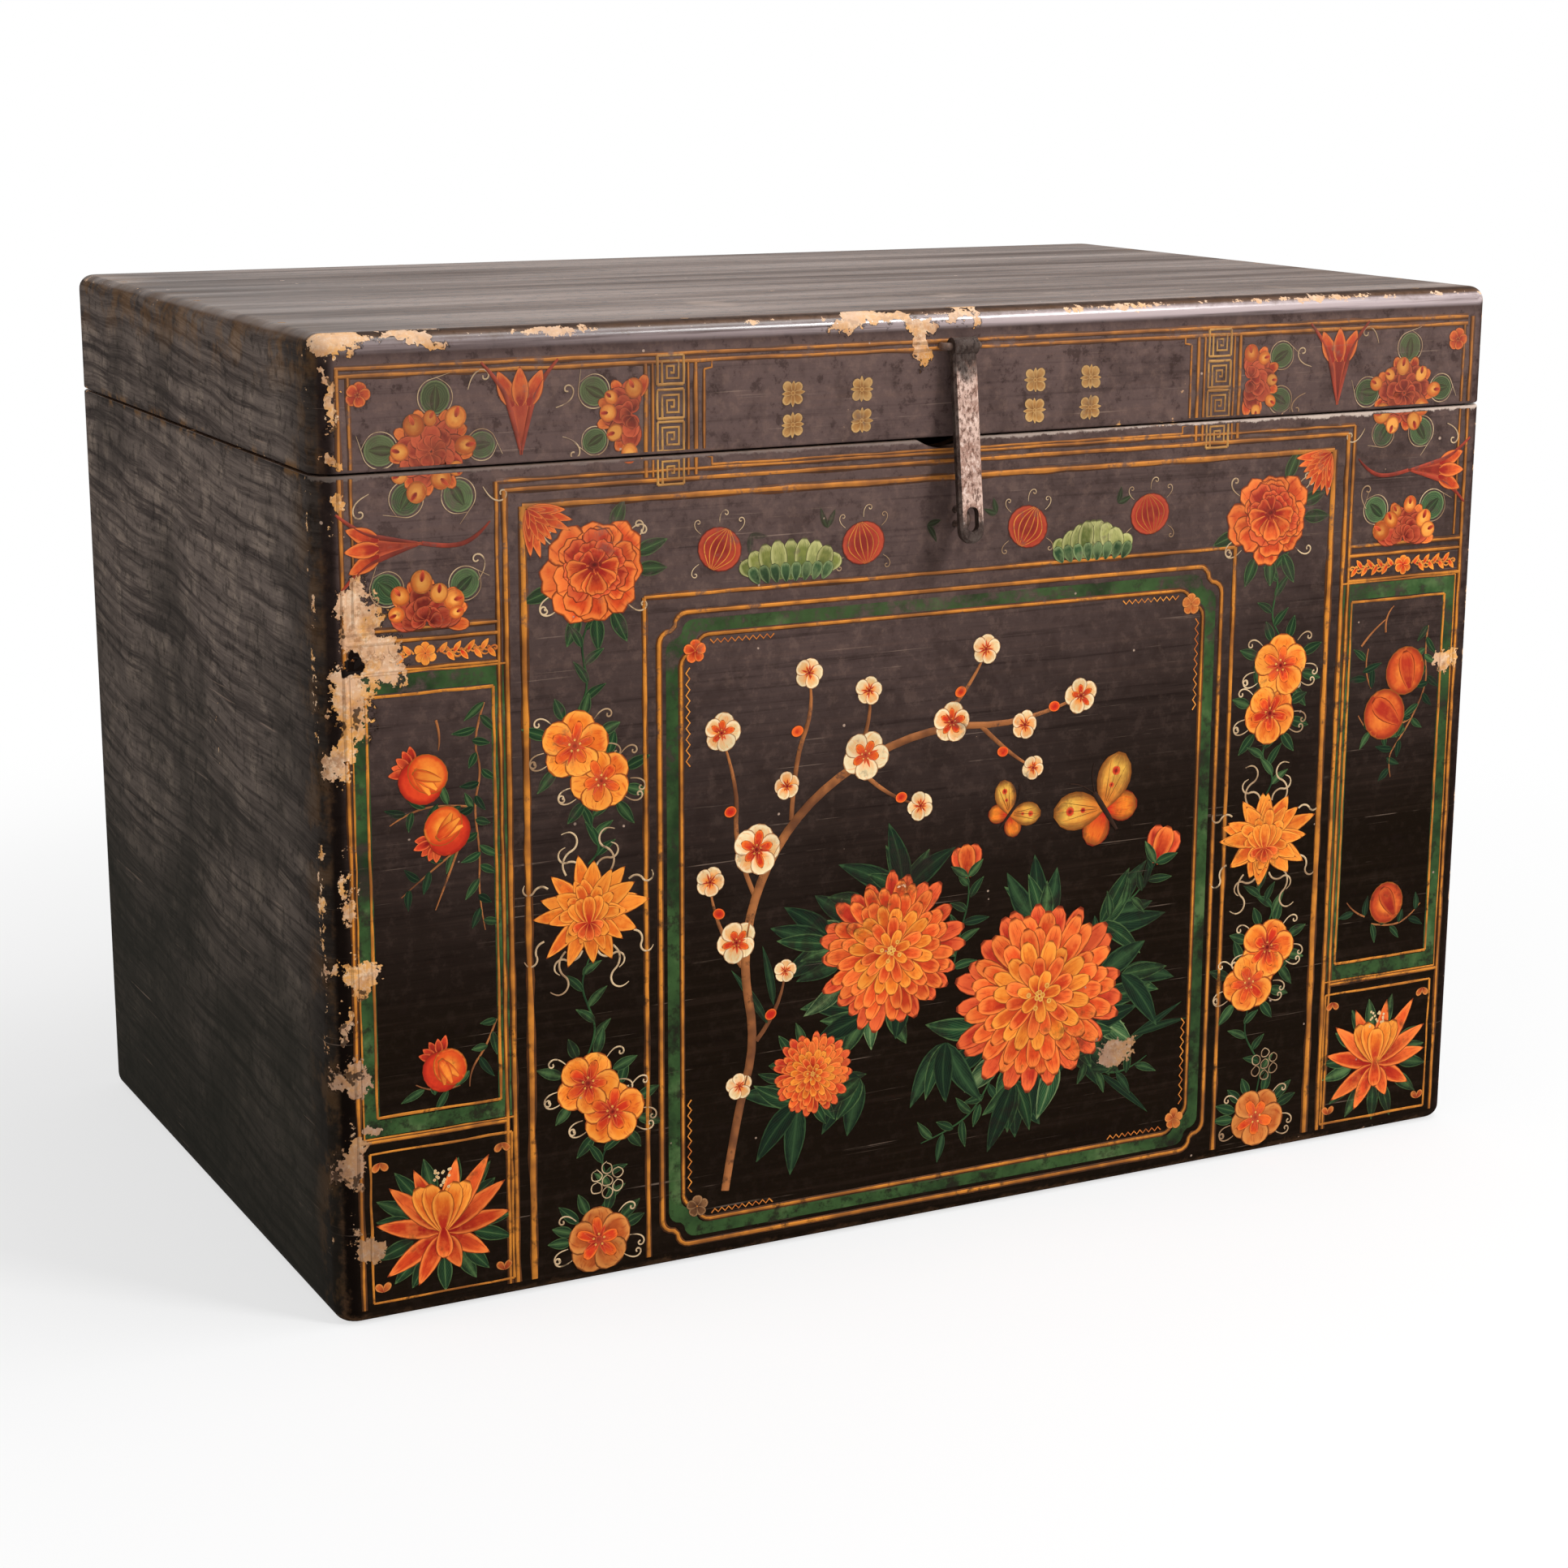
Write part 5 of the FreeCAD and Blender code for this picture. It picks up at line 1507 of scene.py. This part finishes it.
# Leaves behind the flowers: sprays as x, z and turns, long blades as x, z, length and turn, stems as paths
PICTURE_SPRAYS = (
    (100, 112, (2.9, 2.3, 1.8, 1.3)), (52, 84, (-3.1, -2.6, 2.7)), (0, 118, (-2.9, -2.4, 2.9)),
    (-60, 146, (-1.2, -1.8, -2.4)), (-84, 196, (-0.7, -1.3, -2.0)), (-34, 222, (-0.1, 0.6, -0.8)),
    (116, 184, (1.2, 0.6, 1.9)), (134, 146, (1.6, 2.2)), (-64, 104, (-1.6, -2.3, -2.9)),
    (-108, 94, (-1.2, -2.2, -2.9)), (70, 188, (0.5, -0.1, -0.7)))
PICTURE_BLADES = ((132, 92, 58, 1.0), (144, 102, 44, 1.35), (120, 78, 50, 2.2), (-130, 150, 46, -0.5),
                  (-126, 162, 40, -0.1), (150, 204, 36, 0.2))
PICTURE_STEMS = (
    ((108, 168), (126, 190), (148, 202), (158, 220)), ((94, 98), (116, 80), (140, 76), (156, 86)),
    ((36, 92), (26, 72), (6, 58), (-18, 52)), ((-56, 152), (-72, 142), (-86, 136)),
    ((4, 168), (8, 190), (16, 214), (14, 228)))

# The branch that climbs the left side and leans over to the right, with its twigs
BRANCH = ((-160, 44), (-152, 92), (-138, 140), (-148, 190), (-140, 236), (-114, 280), (-70, 312),
          (-10, 330), (52, 324), (94, 338))
TWIGS = (
    ((-140, 236), (-154, 268), (-150, 306), (-162, 338)),
    ((-114, 280), (-112, 318), (-98, 350), (-102, 370)),
    ((-10, 330), (14, 352), (24, 374)), ((-148, 190), (-166, 214), (-170, 244)),
    ((-70, 312), (-50, 288), (-24, 280)), ((-138, 140), (-120, 160), (-118, 182)),
    ((20, 328), (44, 304), (60, 296)), ((-70, 312), (-56, 338), (-60, 356)))
# Its blossom as x, z, size and turn, and its closed buds as x and z
BLOSSOMS = (
    (-162, 340, 25, 0.2), (-102, 372, 20, 0.3), (24, 376, 20, 0.2), (-170, 247, 20, 0.4),
    (-22, 279, 19, 0.9), (96, 339, 24, 1.1), (54, 324, 19, 0.3), (-117, 302, 18, 1.1),
    (-150, 112, 18, 1.2), (-60, 357, 19, 0.2), (61, 295, 17, 0.7), (-118, 183, 16, 0.2),
    (-138, 264, 34, 0.2), (-62, 316, 32, 0.5), (-152, 206, 28, 0.9), (0, 331, 27, 0.1))
CLOSED_BUDS = ((-156, 290), (-110, 336), (-36, 286), (76, 334), (38, 308), (-164, 226), (6, 350),
               (-128, 156))


def middle_picture(paints):
    """Chrysanthemums with leaves, a branch of plum blossom and butterflies."""
    paint, leaves = Paint("picture_flowers"), Paint("picture_leaves")
    branch, stems = Strokes("picture_branch", BRANCH_LIFT), Strokes("picture_stems", TWIG_LIFT)
    fine = Strokes("picture_dark_lines", FINE_LIFT)
    for x, z, turns in PICTURE_SPRAYS:
        spray(leaves, x, z, 46, turns, DEEP_LEAF)
        spray(leaves, x, z, 36, turns, LEAF)
    for x, z, reach, start, end in PICTURE_RINGS:
        for number in range(11):
            angle = start + (end - start) * number / 10
            shades = (DEEP_LEAF, LEAF, MOSS)[number % 3] if reach > 30 else LEAF
            leaf(leaves, *around(x, z, reach * 0.84, angle), reach * rng.uniform(0.5, 0.85), reach * 0.28,
                 angle + rng.uniform(-0.5, 0.5), shades, rng.choice(LEAF_KINDS))
    for x, z, long, turn in PICTURE_BLADES:
        leaf(leaves, x, z, long, 5.5, turn, DEEP_LEAF, "leaf_left" if turn < 0 else "leaf_right")
    for path in PICTURE_STEMS:
        sprig_of_leaves(stems, leaves, path, 17.0)
    bud(paint, leaves, 158, 220, 26, 0.4)
    bud(paint, leaves, 14, 228, 22, -0.1)
    branch.sweep(BRANCH, 7.0, (0.9, 0.25))
    for path in TWIGS:
        branch.sweep(path, 3.6, (1.0, 0.3))
    for place in BLOSSOMS:
        plum(paint, *place, BLOSSOM)
    for x, z in CLOSED_BUDS:
        paint.mark("disc", x, z, 7.0, 8.5, rng.uniform(-0.5, 0.5), 0.27, varied(BLUSH))
    for place in PICTURE_FLOWERS:
        full_chrysanthemum(paint, *place)
    for place in ((116, 262, 62, -0.6), (44, 266, 38, 0.7)):
        butterfly(paint, fine, *place)
    half, low, high = centre_field(24.0)
    corners = ((-half, high, ORANGE), (half, high, DIM_AMBER), (-half, low, BROWN), (half, low, DIM_AMBER))
    for x, z, shades in corners:
        ring(paint, "lobe", x, z, 5, 0.5, 7.5, 7.0, 0.24, shades)
    settle_all("chest", paints, petal=paint, leaf=leaves, twig=branch, stem=stems, dark=fine)


# Stage, light and camera

WHITE, FLOOR_GREY = (1.0, 1.0, 1.0, 1.0), (0.86, 0.86, 0.86, 1.0)
FLOOR_SIZE = 60.0


def seen_directly(m):
    """1 for what the camera sees, straight or in a reflection, and 0 for the light that falls on things."""
    path = m.node("ShaderNodeLightPath", output="Is Camera Ray")
    outputs = path.socket.node.outputs
    return path.most(Value(m, outputs["Is Glossy Ray"])).most(Value(m, outputs["Is Transmission Ray"]))


def stage():
    """A pale floor that fades to the white of the studio, and the light from all round."""
    deselect()
    bpy.ops.mesh.primitive_plane_add(size=FLOOR_SIZE)
    floor = bpy.context.active_object
    floor.name = "floor"
    m = new_finish("pale_floor")
    distance = m.length(m.coords("Object"))
    lit = m.node("ShaderNodeBsdfDiffuse", None, {"Color": FLOOR_GREY})
    white = m.node("ShaderNodeEmission", None, {"Color": WHITE, "Strength": 1.0})
    share = seen_directly(m) * (0.66 + distance.rise(0.5, 1.4) * 0.34)
    shader = m.node("ShaderNodeMixShader", None, {0: share, 1: lit, 2: white})
    m.node("ShaderNodeOutputMaterial", None, {"Surface": shader})
    floor.data.materials.append(m.owner)

    world = bpy.data.worlds.new("studio")
    bpy.context.scene.world = world
    m = Finish(world)
    strength = seen_directly(m) * 0.55 + 0.45
    white = m.node("ShaderNodeBackground", None, {"Color": WHITE, "Strength": strength})
    m.node("ShaderNodeOutputWorld", None, {"Surface": white})


def lamp(name, place, target, size, power):
    """A square softbox at place that faces target."""
    data = bpy.data.lights.new(name, "AREA")
    data.shape = "SQUARE"
    data.size = size
    data.energy = power
    box = link(name, data)
    box.location = place
    box.rotation_mode = "QUATERNION"
    box.rotation_quaternion = (Vector(target) - Vector(place)).to_track_quat("-Z", "Y")


# The photograph's view: angles in degrees, lengths in metres, lens and sensor in millimetres
VIEW_AZIMUTH, VIEW_HEIGHT, VIEW_ROLL = -27.219, 13.649, 0.2046
VIEW_DISTANCE = 2.183
VIEW_LENS, VIEW_SENSOR = 70.38, 36.0
VIEW_TARGET = Vector((0.0108, 0.0, 0.2346))


def camera():
    azimuth, height, roll = (math.radians(angle) for angle in (VIEW_AZIMUTH, VIEW_HEIGHT, VIEW_ROLL))
    level = math.cos(height)
    back = Vector((math.sin(azimuth) * level, -math.cos(azimuth) * level, math.sin(height)))
    right = Vector((math.cos(azimuth), math.sin(azimuth), 0.0))
    up = back.cross(right)
    turned_right = math.cos(roll) * right + math.sin(roll) * up
    turned_up = -math.sin(roll) * right + math.cos(roll) * up
    data = bpy.data.cameras.new("camera")
    data.sensor_width = VIEW_SENSOR
    data.lens = VIEW_LENS
    eye = link("camera", data)
    turn = Matrix((turned_right, turned_up, back)).transposed().to_4x4()
    eye.matrix_world = Matrix.Translation(VIEW_TARGET + VIEW_DISTANCE * back) @ turn
    bpy.context.scene.camera = eye


# Finishes of the solids

finishes = {
    "lacquered_wood": lacquered_wood(),
    "bare_wood": plain_wood("bare_wood", 0.0, 9.0, (0.5, 0.72), 0.6, rgb(74, 54, 38), 0.74, 0.18),
    "peg_wood": peg_wood(),
    "iron": iron(),
    "batten_wood": plain_wood("batten_wood", 1.0, 11.0, (0.48, 0.7), 0.5, rgb(82, 60, 42), 0.72, 0.2),
    "hasp_iron": hasp_iron(),
}


def finish_for(name):
    """The finish of a solid, from the words in its name."""
    if name.startswith("lid_batten"):
        return finishes["batten_wood"]
    if name == "hasp":
        return finishes["hasp_iron"]
    if any(word in name for word in ("staple", "hinge", "nail")):
        return finishes["iron"]
    if any(word in name for word in ("dowels", "pegs")):
        return finishes["peg_wood"]
    if name.startswith("bottom_plank"):
        return finishes["bare_wood"]
    return finishes["lacquered_wood"]


for node_name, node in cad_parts.items():
    node.data.materials.clear()
    node.data.materials.append(finish_for(node_name))

# The painting

all_paints = {
    "petal": petal_paint(),
    "leaf": leaf_paint(),
    "gold": line_paint("gold_line_paint", rgb(210, 132, 48), rgb(146, 88, 38), 0.1),
    "brown": line_paint("brown_line_paint", rgb(104, 60, 28), rgb(64, 38, 20)),
    "fret": line_paint("fret_paint", rgb(208, 154, 82), rgb(158, 108, 54), 0.1),
    "band": band_paint(),
    "curl": line_paint("pale_curl_paint", rgb(216, 186, 146), rgb(150, 118, 88)),
    "red": line_paint("red_line_paint", rgb(176, 62, 40), rgb(110, 34, 26)),
    "amber": line_paint("amber_line_paint", rgb(232, 148, 62), rgb(176, 92, 40)),
    "stem": line_paint("stem_paint", rgb(52, 84, 46), rgb(30, 52, 30)),
    "twig": line_paint("twig_paint", rgb(168, 104, 58), rgb(104, 62, 38)),
    "dark": line_paint("dark_line_paint", rgb(54, 34, 24), rgb(34, 22, 16)),
}

for paint_part in (green_bands, gold_lines, zigzags, spandrels, cartouche_ornaments, top_band):
    paint_part(all_paints)
for _, border_label in SIDES:
    border(border_label, all_paints)
for column_side, column_label in SIDES:
    side_column(column_side, column_label, all_paints)
middle_picture(all_paints)

stage()
lamp("key_softbox", (1.5, -2.3, 2.3), (0.0, 0.0, 0.3), 0.7, 62.0)
lamp("overhead_softbox", (0.7, -0.5, 2.6), (0.0, 0.0, 0.5), 1.2, 26.0)
lamp("left_fill", (-3.0, 0.6, 1.6), (0.0, 0.0, 0.3), 1.6, 16.0)
camera()
bpy.context.scene.view_settings.view_transform = "Standard"
